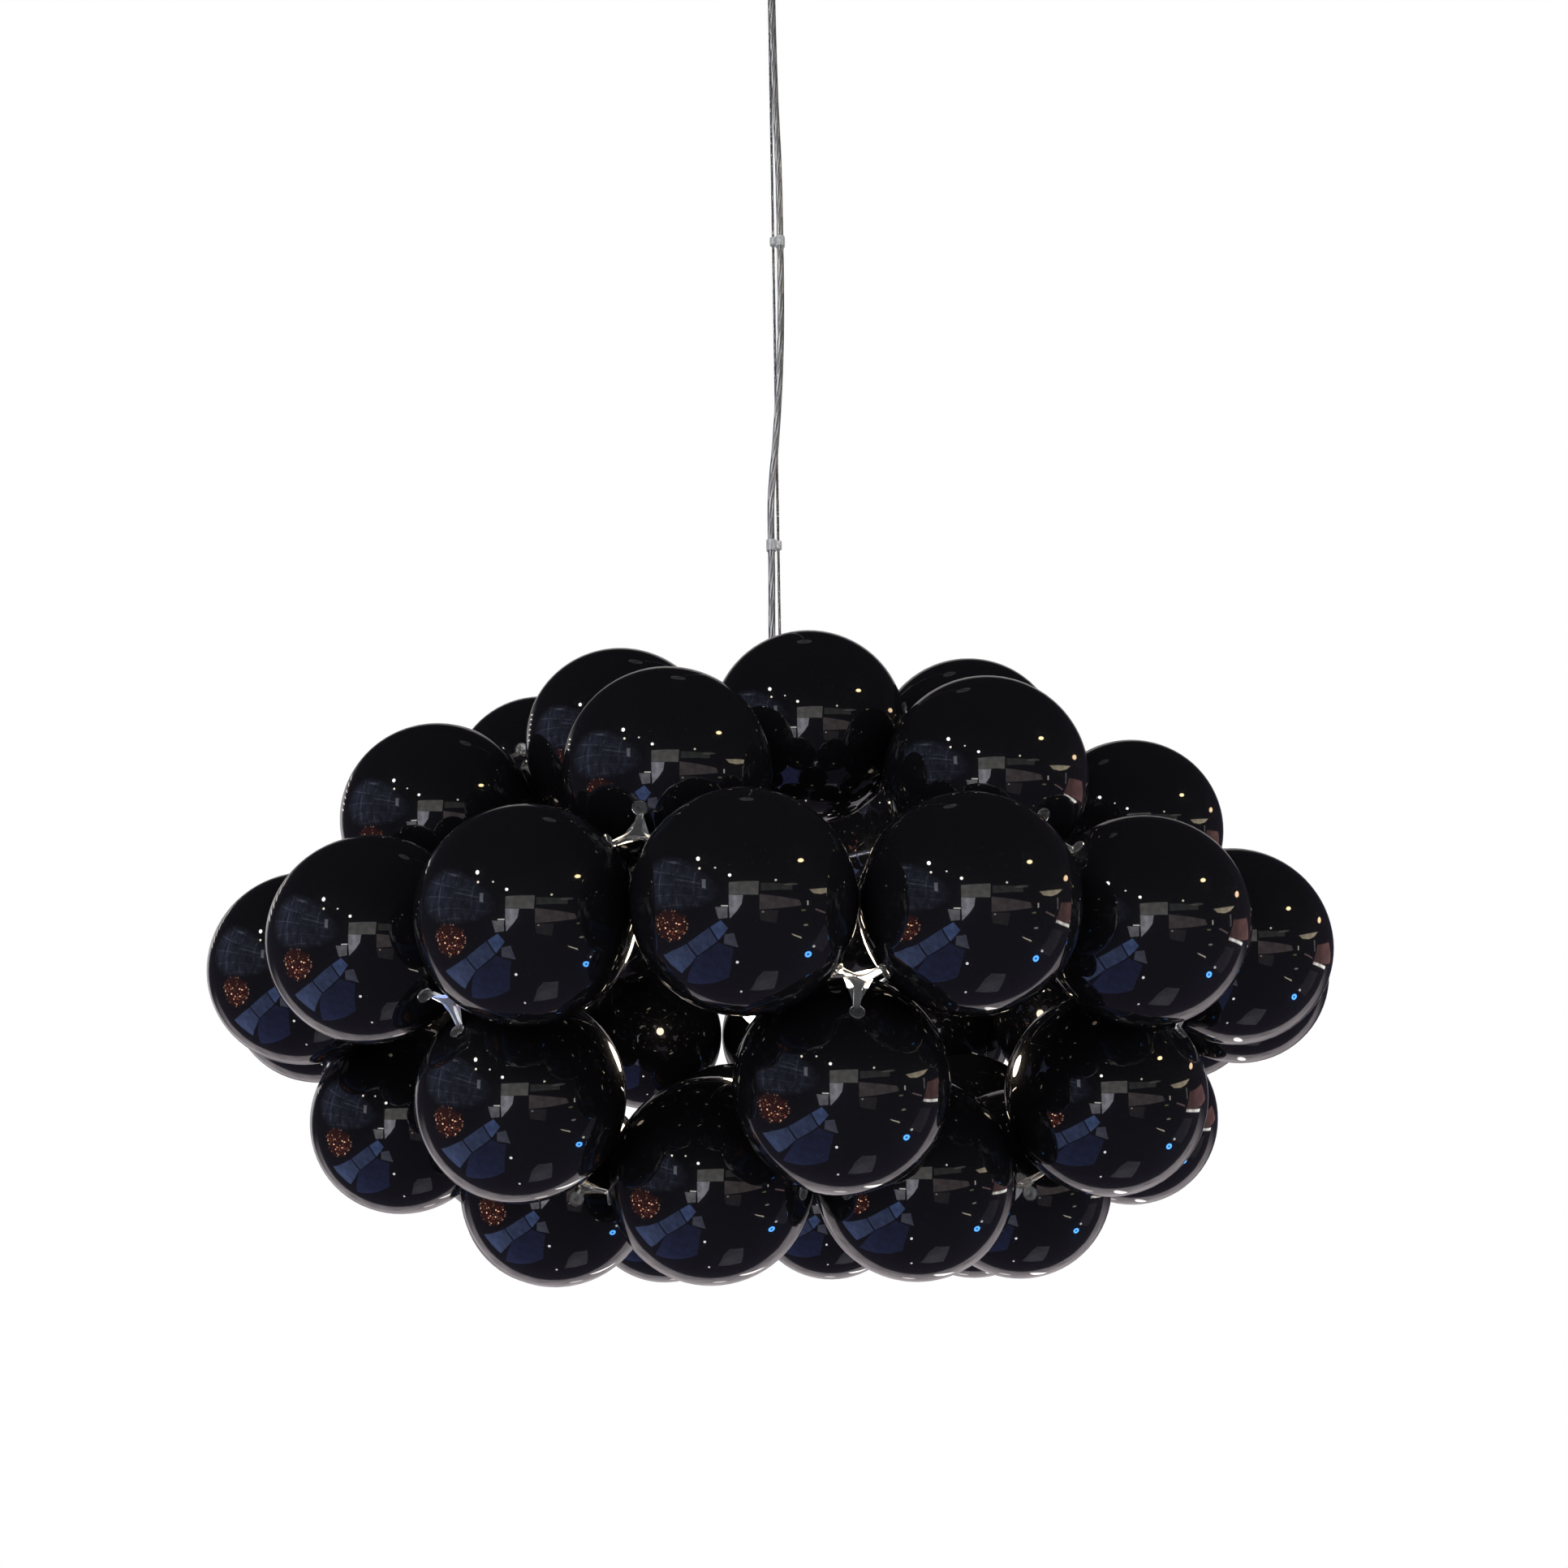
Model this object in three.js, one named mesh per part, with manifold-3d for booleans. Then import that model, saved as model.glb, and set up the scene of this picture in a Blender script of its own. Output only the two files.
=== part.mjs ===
// Pendant light: a hollow cluster of glossy black balls, held together by clear three-armed clips and hung
// from the ceiling on a steel wire, with a clear power cable clipped beside it.
// Millimetres, +Z up. The origin is the middle of the face that lies against the ceiling.
// The photographed side faces -Y, with +X to its right.
import * as THREE from "three";
import { mergeVertices } from "three/addons/utils/BufferGeometryUtils.js";
import Module from "manifold-3d";

const wasm = await Module();
wasm.setup();

// Driving dimensions: the ball cluster
const ballDiameter = 130;
const ballRadius = ballDiameter / 2;
const ballHollowRadius = 63;
const ringBalls = 8;
const equatorBalls = 2 * ringBalls;
const equatorRadius = 336.5;
const midRadius = 264.2;
const midHeight = 97;
const endRadius = 172.1;
const endHeight = 147.6;
const clusterTurn = THREE.MathUtils.degToRad(-2.7);
const ventRadius = 2.5;

// Driving dimensions: the clear clips
const discTilt = THREE.MathUtils.degToRad(67);
const discRadius = 4.7;
const discThickness = 1.4;
const discSides = 8;
const pegRadius = 2;
const pegDepth = 7;
const pegClearance = 0.5;
const webThickness = 2.4;
const webDrop = 4.2;
const webWaistRadius = 4.6;
const armHalfWidth = 2.4;

// Driving dimensions: the hanging height and what is at the ceiling
const clusterDrop = 940;
const clusterOffset = -8;
const plateRadius = 46;
const plateThickness = 4;
const plateScrewOffset = 32;
const plateScrewRadius = 2.5;
const canopyRadius = 60;
const canopyDepth = 40;
const canopyWall = 1.5;
const canopyMouthRadius = 17.5;
const canopyEdge = 4;
const canopyScrewDrop = 12;
const canopyScrewRadius = 1.5;
const canopyScrewHoleRadius = 1.9;
const canopyScrewHeadRadius = 4;
const canopyScrewHeadHeight = 2.2;
const earLength = 18;
const earThickness = 2;
const earHalfWidth = 8;
const earInset = 2.5;
const ceilingGap = 0.5;
const terminalWayOffset = 5.5;
const terminalWayRadius = 2;
const terminalScrewRadius = 1.8;
const upperPinDepth = 12;
const lowerPinDepth = 33;
const pinRadius = 2;
const pinHoleRadius = 2.55;
const eyeThickness = 5;
const eyeRadius = 5.5;
const cheekGap = 0.6;
const cheekThickness = 2.4;
const cheekHalfWidth = 4.5;
const linkCoreGap = 1.5;

// Driving dimensions: wire, cable and the two cord clips
const wireRadius = 1.1;
const wireSleeveRadius = 2;
const wireSleeveLength = 22;
const wireStopRadius = 3.2;
const wireStopHeight = 6;
const cableRadius = 2.7;
const cableClearance = 0.4;
const cableSteps = 49;
const cordClipHeight = 9.5;
const cordClipHalfDepth = 3.9;
const cordClipCorner = 2;
const cordClipRim = 1.6;
const upperCordClipDrop = 337;
const upperCordClipReach = 5.6;
const lowerCordClipDrop = 598;
const lowerCordClipReach = -5.4;
const touchGap = 0.3;

// Driving dimensions: hub, arms, lamp holder and bulb, with heights above the middle of the cluster
const hubHeight = 85;
const hubRadius = 19;
const hubThickness = 4;
const hangerArms = 4;
const armRootRadius = 14;
const armRadius = 1.6;
const armBend = 20;
const holderLength = 50;
const holderRadius = 17.5;
const holderWall = 2.5;
const holderSocketDepth = 32;
const bulbCapRadius = 13;
const bulbCapLength = 27;
const bulbCapGap = 1;
const bulbContactRadius = 4;
const bulbContactHeight = 3;
const bulbNeckHeight = 4;
const bulbGlobeRadius = 30;
const bulbHeight = -5;

const rightTurn = Math.PI / 2;

// Materials, one function each
const finish = (name, color, roughness, metalness, opacity = 1) =>
  Object.assign(new THREE.MeshStandardMaterial({ color, roughness, metalness }), {
    name,
    opacity,
    transparent: opacity < 1,
  });
const ballGloss = () => finish("ball_gloss", 0x08080b, 0.08, 0);
const clearPlastic = () => finish("clear_plastic", 0xe8ecee, 0.1, 0, 0.35);
const clearCable = () => finish("clear_cable", 0xb9bcbe, 0.2, 0.2, 0.6);
const steel = () => finish("steel", 0xb4b6b8, 0.3, 1);
const whitePlastic = () => finish("white_plastic", 0xe9e8e3, 0.5, 0);
const blackPlastic = () => finish("black_plastic", 0x151515, 0.45, 0);
const opalBulb = () => finish("opal_bulb", 0xfff3dc, 0.3, 0);

// Solids: a closed geometry as a solid, and a solid as a geometry
const solid = (geometry) => {
  const bare = geometry.index ? geometry.toNonIndexed() : geometry.clone();
  bare.deleteAttribute("normal");
  bare.deleteAttribute("uv");
  const merged = mergeVertices(bare, 1e-4);
  return new wasm.Manifold(
    new wasm.Mesh({
      numProp: 3,
      vertProperties: merged.attributes.position.array,
      triVerts: new Uint32Array(merged.index.array),
    }),
  );
};
const geometryOf = (shape) => {
  const mesh = shape.getMesh();
  return new THREE.BufferGeometry()
    .setAttribute("position", new THREE.BufferAttribute(mesh.vertProperties, 3))
    .setIndex(new THREE.BufferAttribute(mesh.triVerts, 1));
};
const join = (shapes) => shapes.reduce((whole, next) => whole.add(next));
const cut = (shape, tools) => tools.reduce((rest, tool) => rest.subtract(tool), shape);

// An upright cylinder from one height to another.
const post = (radius, low, high, sides, x = 0, y = 0) => {
  const geometry = new THREE.CylinderGeometry(radius, radius, high - low, sides);
  return geometry.rotateX(rightTurn).translate(x, y, (low + high) / 2);
};
// A cylinder that lies along X or along Y, centred on a point.
const barAlongX = (radius, length, sides, x, y, z) =>
  new THREE.CylinderGeometry(radius, radius, length, sides).rotateZ(rightTurn).translate(x, y, z);
const barAlongY = (radius, length, sides, x, y, z) =>
  new THREE.CylinderGeometry(radius, radius, length, sides).translate(x, y, z);
// A box between two values along each axis, given in either order.
const block = (x0, x1, y0, y1, z0, z1) =>
  new THREE.BoxGeometry(Math.abs(x1 - x0), Math.abs(y1 - y0), Math.abs(z1 - z0)).translate(
    (x0 + x1) / 2,
    (y0 + y1) / 2,
    (z0 + z1) / 2,
  );

// A rod between two points.
const rod = (from, to, radius, sides) => {
  const along = to.clone().sub(from);
  const geometry = new THREE.CylinderGeometry(radius, radius, along.length(), sides);
  const upright = new THREE.Vector3(0, 1, 0);
  const turn = new THREE.Quaternion().setFromUnitVectors(upright, along.clone().normalize());
  const middle = from.clone().add(to).multiplyScalar(0.5);
  return geometry.applyQuaternion(turn).translate(middle.x, middle.y, middle.z);
};
// A round tube along a list of points.
const tube = (points, radius, sides, steps) => {
  const section = new THREE.Shape(
    Array.from({ length: sides }, (_, i) => {
      const a = (2 * Math.PI * i) / sides;
      return new THREE.Vector2(radius * Math.cos(a), radius * Math.sin(a));
    }),
  );
  const path = new THREE.CatmullRomCurve3(points);
  return new THREE.ExtrudeGeometry(section, { steps, bevelEnabled: false, extrudePath: path });
};
// A profile of radius and height, turned round the Z axis.
const lathe = (profile, sides) => {
  const points = profile.map(([r, z]) => new THREE.Vector2(r, z));
  return new THREE.LatheGeometry(points, sides).rotateX(rightTurn);
};

// The balls' places: azimuth 0 is towards -Y, and grows towards +X
const ringPoint = (radius, azimuth, height) =>
  new THREE.Vector3(radius * Math.sin(azimuth), -radius * Math.cos(azimuth), height);
const ringStep = (2 * Math.PI) / ringBalls;
const equatorCentre = (k) => ringPoint(equatorRadius, clusterTurn + (k * ringStep) / 2, 0);
const upperAzimuth = (j) => clusterTurn + (j - 0.25) * ringStep;
const lowerAzimuth = (j) => clusterTurn + (j + 0.25) * ringStep;
const upperCentre = (j) => ringPoint(midRadius, upperAzimuth(j), midHeight);
const lowerCentre = (j) => ringPoint(midRadius, lowerAzimuth(j), -midHeight);
const topCentre = (j) => ringPoint(endRadius, lowerAzimuth(j), endHeight);
const bottomCentre = (j) => ringPoint(endRadius, upperAzimuth(j), -endHeight);

// The clips' places: each spans three neighbouring balls, and its first ball carries it. On each ball lies a
// disc, tilted from the web, and the web's underside passes below the discs' middles.
const clipFrame = (balls) => {
  const centre = balls.reduce((sum, ball) => sum.add(ball), new THREE.Vector3()).divideScalar(3);
  const normal = balls[1].clone().sub(balls[0]).cross(balls[2].clone().sub(balls[0])).normalize();
  if (normal.dot(centre) < 0) normal.negate();
  const arms = balls.map((ball) => {
    const ahead = ball.clone().sub(centre).normalize();
    const aside = normal.clone().cross(ahead);
    const out = normal.clone().multiplyScalar(Math.cos(discTilt)).addScaledVector(ahead, -Math.sin(discTilt));
    return { ball, ahead, aside, out };
  });
  const turn = (arm) => Math.atan2(arm.ahead.dot(arms[0].aside), arm.ahead.dot(arms[0].ahead));
  arms.sort((first, second) => turn(first) - turn(second));
  return { centre, normal, arms };
};
const upperClip = (j) => clipFrame([upperCentre(j), equatorCentre(2 * j - 1), equatorCentre(2 * j)]);
const lowerClip = (j) => clipFrame([lowerCentre(j), equatorCentre(2 * j), equatorCentre(2 * j + 1)]);
const topClip = (j) => clipFrame([upperCentre(j), topCentre(j - 1), topCentre(j)]);
const bottomClip = (j) => clipFrame([lowerCentre(j), bottomCentre(j), bottomCentre(j + 1)]);
const webUnderside = ballRadius * Math.cos(discTilt) - webDrop;

// A closed solid from a list of faces, each a list of points in order, seen from outside anticlockwise.
const facetSolid = (faces) => {
  const corners = faces.flatMap((face) => face.slice(2).flatMap((point, i) => [face[0], face[i + 1], point]));
  return solid(new THREE.BufferGeometry().setFromPoints(corners));
};
// A round bar square to a ball, from one height above the ball's surface to another.
const standing = ({ ball, out }, low, high, radius, sides) => {
  const at = (height) => ball.clone().addScaledVector(out, ballRadius + height);
  return solid(rod(at(low), at(high), radius, sides));
};

// A clip's web: flat, with three arms that end just clear of the balls, and hollow between them.
const webSolid = ({ centre, normal, arms }) => {
  const hub = centre.clone().addScaledVector(normal, webUnderside);
  const raise = (point) => point.clone().addScaledVector(normal, webThickness);
  const ballAtWeb = Math.sqrt((ballRadius + touchGap) ** 2 - webUnderside ** 2);
  const outline = arms.flatMap((arm, i) => {
    const next = arms[(i + 1) % 3];
    const end = hub.clone().addScaledVector(arm.ahead, arm.ball.distanceTo(centre) - ballAtWeb);
    const towardsWaist = arm.ahead.clone().add(next.ahead).normalize();
    return [
      end.clone().addScaledVector(arm.aside, -armHalfWidth),
      end.clone().addScaledVector(arm.aside, armHalfWidth),
      hub.clone().addScaledVector(towardsWaist, webWaistRadius),
    ];
  });
  const faces = outline.flatMap((point, i) => {
    const next = outline[(i + 1) % outline.length];
    return [
      [hub, next, point],
      [raise(hub), raise(point), raise(next)],
      [point, next, raise(next), raise(point)],
    ];
  });
  return facetSolid(faces);
};
// A whole clip: the web, and at each arm's end a disc on the ball and a peg into it.
const clipSolid = (frame) => {
  const ends = frame.arms.flatMap((arm) => [
    standing(arm, touchGap, touchGap + discThickness, discRadius, discSides),
    standing(arm, -pegDepth, touchGap + discThickness / 2, pegRadius, 4),
  ]);
  return join([webSolid(frame), ...ends]);
};

// The balls: moulded shells, with two peg holes or with their own two clips and a vent
const outerBall = new THREE.OctahedronGeometry(ballRadius, 3);
const innerBall = new THREE.OctahedronGeometry(ballHollowRadius, 1);
const shell = solid(outerBall).subtract(solid(innerBall));
const pegHole = (centre, { arms }) => {
  const arm = arms.find(({ ball }) => ball.distanceTo(centre) < 1);
  return standing(arm, -ballRadius / 2, ballRadius / 2, pegRadius + pegClearance, 4);
};
const plainBall = (centre, frames) =>
  cut(
    shell.translate(centre.toArray()),
    frames.map((frame) => pegHole(centre, frame)),
  );
const clipBall = (centre, frames) => {
  const inward = new THREE.Vector3(-centre.x, -centre.y, 0).setLength(ballDiameter);
  const vent = solid(rod(centre, centre.clone().add(inward), ventRadius, 3));
  return join([cut(shell.translate(centre.toArray()), [vent]), ...frames.map(clipSolid)]);
};

// The hanger: a round hub with arms that pass between the balls and end under four of the top clips. The cable
// goes through its middle, and the wire beside it.
const armSpots = Array.from({ length: hangerArms }, (_, i) => topClip((i * ringBalls) / hangerArms));
const hangerArm = (frame) => {
  const { centre, normal } = frame;
  const tip = centre.clone().addScaledVector(normal, webUnderside - touchGap);
  const bend = centre.clone().addScaledVector(normal, -armBend);
  const root = new THREE.Vector3(bend.x, bend.y, 0).setLength(armRootRadius).setZ(hubHeight);
  const pastBend = bend.clone().add(bend.clone().sub(root).setLength(armRadius));
  return [rod(root, pastBend, armRadius, 4), rod(bend, tip, armRadius, 4)];
};
const hangerSpider = () => {
  const hub = solid(post(hubRadius, hubHeight - hubThickness / 2, hubHeight + hubThickness / 2, 16));
  const whole = join([hub, ...armSpots.flatMap(hangerArm).map(solid)]);
  const low = hubHeight - hubThickness;
  const high = hubHeight + hubThickness;
  const wireHole = post(wireRadius + touchGap, low, high, 8, -clusterOffset);
  const cableHole = post(cableRadius + cableClearance, low, high, 10);
  return cut(whole, [wireHole, cableHole].map(solid));
};

// The lamp holder: a sleeve under the hub, hollow at the top for the wire's stop and the cable's end
const holderTop = hubHeight - hubThickness / 2 - touchGap;
const holderBottom = holderTop - holderLength;
const holderFloor = holderBottom + holderSocketDepth;
const lampHolder = () => {
  const inside = holderRadius - holderWall;
  const bore = bulbCapRadius + touchGap * 2;
  return lathe(
    [
      [0, holderFloor],
      [bore, holderFloor],
      [bore, holderBottom],
      [holderRadius, holderBottom],
      [holderRadius, holderTop],
      [inside, holderTop],
      [inside, holderFloor + holderWall],
      [0, holderFloor + holderWall],
      [0, holderFloor],
    ],
    16,
  );
};
// The bulb: a globe that runs up into a neck, and a cap whose end narrows to its contact
const bulb = () => {
  const capTop = holderFloor - bulbCapGap;
  const capBottom = capTop - bulbCapLength;
  const globe = [30, 60, 90, 120, 150].map((degrees) => {
    const a = THREE.MathUtils.degToRad(degrees);
    return [bulbGlobeRadius * Math.sin(a), bulbHeight - bulbGlobeRadius * Math.cos(a)];
  });
  const belowNeck = globe.filter(([, z]) => z < capBottom - bulbNeckHeight);
  return lathe(
    [
      [0, bulbHeight - bulbGlobeRadius],
      ...belowNeck,
      [bulbCapRadius, capBottom],
      [bulbCapRadius, capTop - bulbContactHeight],
      [bulbContactRadius, capTop],
      [0, capTop],
    ],
    16,
  );
};

// Ceiling plate: a disc with two screw holes, an eye for the link and two bent ears for the canopy
const earReach = canopyRadius - canopyWall - earInset;
const ceilingPlate = () => {
  const ears = [-1, 1].flatMap((side) => {
    const root = side * (plateRadius - 2 * earThickness);
    const fold = side * (earReach - earThickness);
    const outer = side * earReach;
    return [
      block(root, outer, -earHalfWidth, earHalfWidth, -earThickness, 0),
      block(fold, outer, -earHalfWidth, earHalfWidth, -earLength, 0),
    ];
  });
  const disc = post(plateRadius, -plateThickness, 0, 24);
  const eye = barAlongY(eyeRadius, eyeThickness, 12, 0, 0, -upperPinDepth);
  const eyeNeck = block(
    -eyeRadius,
    eyeRadius,
    -eyeThickness / 2,
    eyeThickness / 2,
    -upperPinDepth,
    -plateThickness / 2,
  );
  const pinHole = barAlongY(pinHoleRadius, 2 * eyeThickness, 8, 0, 0, -upperPinDepth);
  const plateHoles = [-1, 1].map((side) =>
    post(plateScrewRadius, -2 * plateThickness, plateThickness, 8, 0, side * plateScrewOffset),
  );
  const earHole = barAlongX(canopyScrewHoleRadius, 4 * earThickness, 6, earReach, 0, -canopyScrewDrop);
  return cut(join([disc, eye, eyeNeck, ...ears].map(solid)), [pinHole, ...plateHoles, earHole].map(solid));
};
// The canopy: a shallow cup, open at the top, with the mouth for wire and cable in its floor
const canopyCover = () => {
  const inside = canopyRadius - canopyWall;
  const cup = lathe(
    [
      [canopyMouthRadius, -canopyDepth],
      [canopyRadius - canopyEdge, -canopyDepth],
      [canopyRadius, -canopyDepth + canopyEdge],
      [canopyRadius, -ceilingGap],
      [inside, -ceilingGap],
      [inside, -canopyDepth + canopyEdge + canopyWall / 2],
      [inside - canopyEdge, -canopyDepth + canopyWall],
      [canopyMouthRadius, -canopyDepth + canopyWall],
      [canopyMouthRadius, -canopyDepth],
    ],
    20,
  );
  const hole = barAlongX(canopyScrewHoleRadius, 4 * canopyEdge, 6, canopyRadius, 0, -canopyScrewDrop);
  return cut(solid(cup), [solid(hole)]);
};
const canopyScrew = () => {
  const start = earReach - 2 * earThickness;
  const headStart = canopyRadius + touchGap;
  const headEnd = headStart + canopyScrewHeadHeight;
  const shankMiddle = (start + headEnd) / 2;
  const headMiddle = (headStart + headEnd) / 2;
  const shank = barAlongX(canopyScrewRadius, headEnd - start, 8, shankMiddle, 0, -canopyScrewDrop);
  const head = barAlongX(canopyScrewHeadRadius, headEnd - headStart, 12, headMiddle, 0, -canopyScrewDrop);
  return join([shank, head].map(solid));
};
// The terminal block under the plate: two ways along Y, each with its clamping screw's hole from below
const terminalBlock = () => {
  const [back, front, low, high] = [-22, -38, -20, -plateThickness - touchGap];
  const body = block(-2 * terminalWayOffset, 2 * terminalWayOffset, front, back, low, high);
  const middleY = (front + back) / 2;
  const middleZ = (low + high) / 2;
  const holes = [-terminalWayOffset, terminalWayOffset].flatMap((x) => [
    barAlongY(terminalWayRadius, 2 * (back - front), 8, x, middleY, middleZ),
    post(terminalScrewRadius, low - 1, middleZ, 8, x, middleY),
  ]);
  return cut(solid(body), holes.map(solid));
};

// The link: a fork on a pin across Y over a fork on a pin across X, which lets the lamp swing both ways
const forkCheeks = (low, high) =>
  [-1, 1].map((side) => {
    const inner = side * (eyeThickness / 2 + cheekGap);
    const outer = inner + side * cheekThickness;
    return block(-cheekHalfWidth, cheekHalfWidth, inner, outer, low, high);
  });
const swingLink = () => {
  const halfPin = eyeThickness / 2 + cheekGap + cheekThickness;
  const coreTop = -upperPinDepth - eyeRadius - linkCoreGap;
  const coreBottom = -lowerPinDepth + eyeRadius + linkCoreGap;
  const core = block(-halfPin, halfPin, -halfPin, halfPin, coreBottom, coreTop);
  const upperPin = barAlongY(pinRadius, 2 * halfPin, 8, 0, 0, -upperPinDepth);
  const lowerPin = barAlongX(pinRadius, 2 * halfPin, 8, 0, 0, -lowerPinDepth);
  const upperFork = forkCheeks(coreTop - 1, -upperPinDepth + cheekHalfWidth);
  const lowerFork = forkCheeks(-lowerPinDepth - cheekHalfWidth, coreBottom + 1);
  const turnedFork = lowerFork.map((cheek) => cheek.rotateZ(rightTurn));
  return join([core, upperPin, lowerPin, ...upperFork, ...turnedFork].map(solid));
};

// The steel wire: its eye on the link's lower pin, the swaged sleeve, and the stop under the hub
const suspensionWire = () => {
  const top = -lowerPinDepth - eyeRadius / 2;
  const end = -clusterDrop + holderTop - 2 * touchGap - wireStopHeight;
  const eye = barAlongX(eyeRadius, eyeThickness, 12, 0, 0, -lowerPinDepth);
  const sleeve = post(wireSleeveRadius, -lowerPinDepth - wireSleeveLength, top, 8);
  const strand = post(wireRadius, end, top - 1, 8);
  const stop = post(wireStopRadius, end, end + wireStopHeight, 8);
  const hole = barAlongX(pinHoleRadius, 2 * eyeThickness, 8, 0, 0, -lowerPinDepth);
  return cut(join([eye, sleeve, strand, stop].map(solid)), [solid(hole)]);
};

// The power cable's route from the ceiling to the lamp holder: it hangs beside the wire, crosses in front of
// it between the two cord clips, and ends inside the holder.
const cableRoute = [
  [2.5, -10.5, -27],
  [2.5, -9.8, -36],
  [2.5, -7.6, -50],
  [2.3, -5.2, -70],
  [2.5, -4.0, -105],
  [2.9, -3.9, -160],
  [3.8, -3.2, -215],
  [5.0, -1.6, -255],
  [5.5, -0.4, -290],
  [5.6, 0.0, -315],
  [5.6, 0.0, -337],
  [5.6, 0.0, -360],
  [5.4, -0.6, -390],
  [4.6, -2.4, -425],
  [2.6, -4.2, -468],
  [-0.9, -4.8, -516],
  [-3.4, -3.8, -540],
  [-4.9, -1.4, -558],
  [-5.4, 0.0, -576],
  [-5.4, 0.0, -598],
  [-5.4, 0.0, -620],
  [-5.9, 0.0, -660],
  [-6.5, 0.0, -720],
  [-7.4, 0.0, -790],
  [-8.0, 0.0, -840],
  [-8.0, 0.0, -864],
].map((point) => new THREE.Vector3(...point));
const powerCable = () => tube(cableRoute, cableRadius, 8, cableSteps);

// A cord clip: a flat clear block with one hole for the wire and one for the cable, beside it at cableX.
const cordClip = (drop, cableX) => {
  const low = -drop - cordClipHeight / 2;
  const high = low + cordClipHeight;
  const side = Math.sign(cableX);
  const wireEnd = -side * (wireRadius + cordClipRim);
  const cableEnd = cableX + side * (cableRadius + cordClipRim);
  const left = Math.min(wireEnd, cableEnd);
  const right = Math.max(wireEnd, cableEnd);
  const outline = new THREE.Shape(
    [
      [left, -cordClipHalfDepth + cordClipCorner],
      [left + cordClipCorner, -cordClipHalfDepth],
      [right - cordClipCorner, -cordClipHalfDepth],
      [right, -cordClipHalfDepth + cordClipCorner],
      [right, cordClipHalfDepth - cordClipCorner],
      [right - cordClipCorner, cordClipHalfDepth],
      [left + cordClipCorner, cordClipHalfDepth],
      [left, cordClipHalfDepth - cordClipCorner],
    ].map((corner) => new THREE.Vector2(...corner)),
  );
  const body = new THREE.ExtrudeGeometry(outline, { depth: cordClipHeight, bevelEnabled: false });
  const wireHole = post(wireRadius + touchGap, low - 1, high + 1, 8);
  const cableHole = post(cableRadius + cableClearance, low - 1, high + 1, 10, cableX);
  return cut(solid(body.translate(0, 0, low)), [solid(wireHole), solid(cableHole)]);
};

// The assembly
const pendant = new THREE.Group();
const cluster = new THREE.Group();
cluster.position.set(clusterOffset, 0, -clusterDrop);
pendant.add(cluster);

const add = (group, name, shape, material) => {
  const geometry = shape.isBufferGeometry ? shape : geometryOf(shape);
  const mesh = new THREE.Mesh(geometry, material);
  mesh.name = name;
  group.add(mesh);
};
const numbered = (name, i) => `${name}_${String(i + 1).padStart(2, "0")}`;

add(pendant, "ceiling_plate", ceilingPlate(), steel());
add(pendant, "canopy_cover", canopyCover(), steel());
add(pendant, "canopy_screw", canopyScrew(), steel());
add(pendant, "terminal_block", terminalBlock(), whitePlastic());
add(pendant, "swing_link", swingLink(), steel());
add(pendant, "suspension_wire", suspensionWire(), steel());
add(pendant, "power_cable", powerCable(), clearCable());
add(pendant, "cord_clip_upper", cordClip(upperCordClipDrop, upperCordClipReach), clearPlastic());
add(pendant, "cord_clip_lower", cordClip(lowerCordClipDrop, lowerCordClipReach), clearPlastic());
add(cluster, "hanger_spider", hangerSpider(), steel());
add(cluster, "lamp_holder", lampHolder(), blackPlastic());
add(cluster, "bulb", bulb(), opalBulb());
for (let k = 0; k < equatorBalls; k += 1) {
  const clips = [upperClip(Math.ceil(k / 2) % ringBalls), lowerClip(Math.floor(k / 2))];
  add(cluster, numbered("ball_equator", k), plainBall(equatorCentre(k), clips), ballGloss());
}
for (let j = 0; j < ringBalls; j += 1) {
  const next = (j + 1) % ringBalls;
  const before = (j + ringBalls - 1) % ringBalls;
  const upperClips = [upperClip(j), topClip(j)];
  const lowerClips = [lowerClip(j), bottomClip(j)];
  const topClips = [topClip(j), topClip(next)];
  const bottomClips = [bottomClip(before), bottomClip(j)];
  add(cluster, numbered("ball_upper", j), clipBall(upperCentre(j), upperClips), ballGloss());
  add(cluster, numbered("ball_lower", j), clipBall(lowerCentre(j), lowerClips), ballGloss());
  add(cluster, numbered("ball_top", j), plainBall(topCentre(j), topClips), ballGloss());
  add(cluster, numbered("ball_bottom", j), plainBall(bottomCentre(j), bottomClips), ballGloss());
}

export default pendant;
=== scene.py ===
# The looks of a pendant light: glossy black balls in clear three-armed clips, hung on a steel wire.
# Metres, +Z up. The origin is at the ceiling, and the photographed side faces -Y.
import math

import bmesh
import bpy
from mathutils import Matrix, Vector


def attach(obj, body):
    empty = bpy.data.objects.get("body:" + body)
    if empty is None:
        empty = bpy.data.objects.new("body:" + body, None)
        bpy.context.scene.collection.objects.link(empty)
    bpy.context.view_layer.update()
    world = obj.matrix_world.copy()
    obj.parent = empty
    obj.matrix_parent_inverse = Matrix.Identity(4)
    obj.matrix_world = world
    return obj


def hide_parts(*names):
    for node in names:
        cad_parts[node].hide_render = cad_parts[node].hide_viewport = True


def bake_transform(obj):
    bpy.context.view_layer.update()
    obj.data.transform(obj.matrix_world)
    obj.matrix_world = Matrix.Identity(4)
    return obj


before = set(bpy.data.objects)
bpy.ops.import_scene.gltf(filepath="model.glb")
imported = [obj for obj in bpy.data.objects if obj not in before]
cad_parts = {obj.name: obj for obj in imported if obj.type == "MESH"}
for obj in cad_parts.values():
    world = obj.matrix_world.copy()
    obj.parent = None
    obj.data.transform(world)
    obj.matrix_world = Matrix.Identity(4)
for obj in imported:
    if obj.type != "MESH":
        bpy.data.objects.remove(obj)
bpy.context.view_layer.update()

MM = 0.001
TURN = 2 * math.pi


def mm(*values):
    return Vector([value * MM for value in values])


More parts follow.
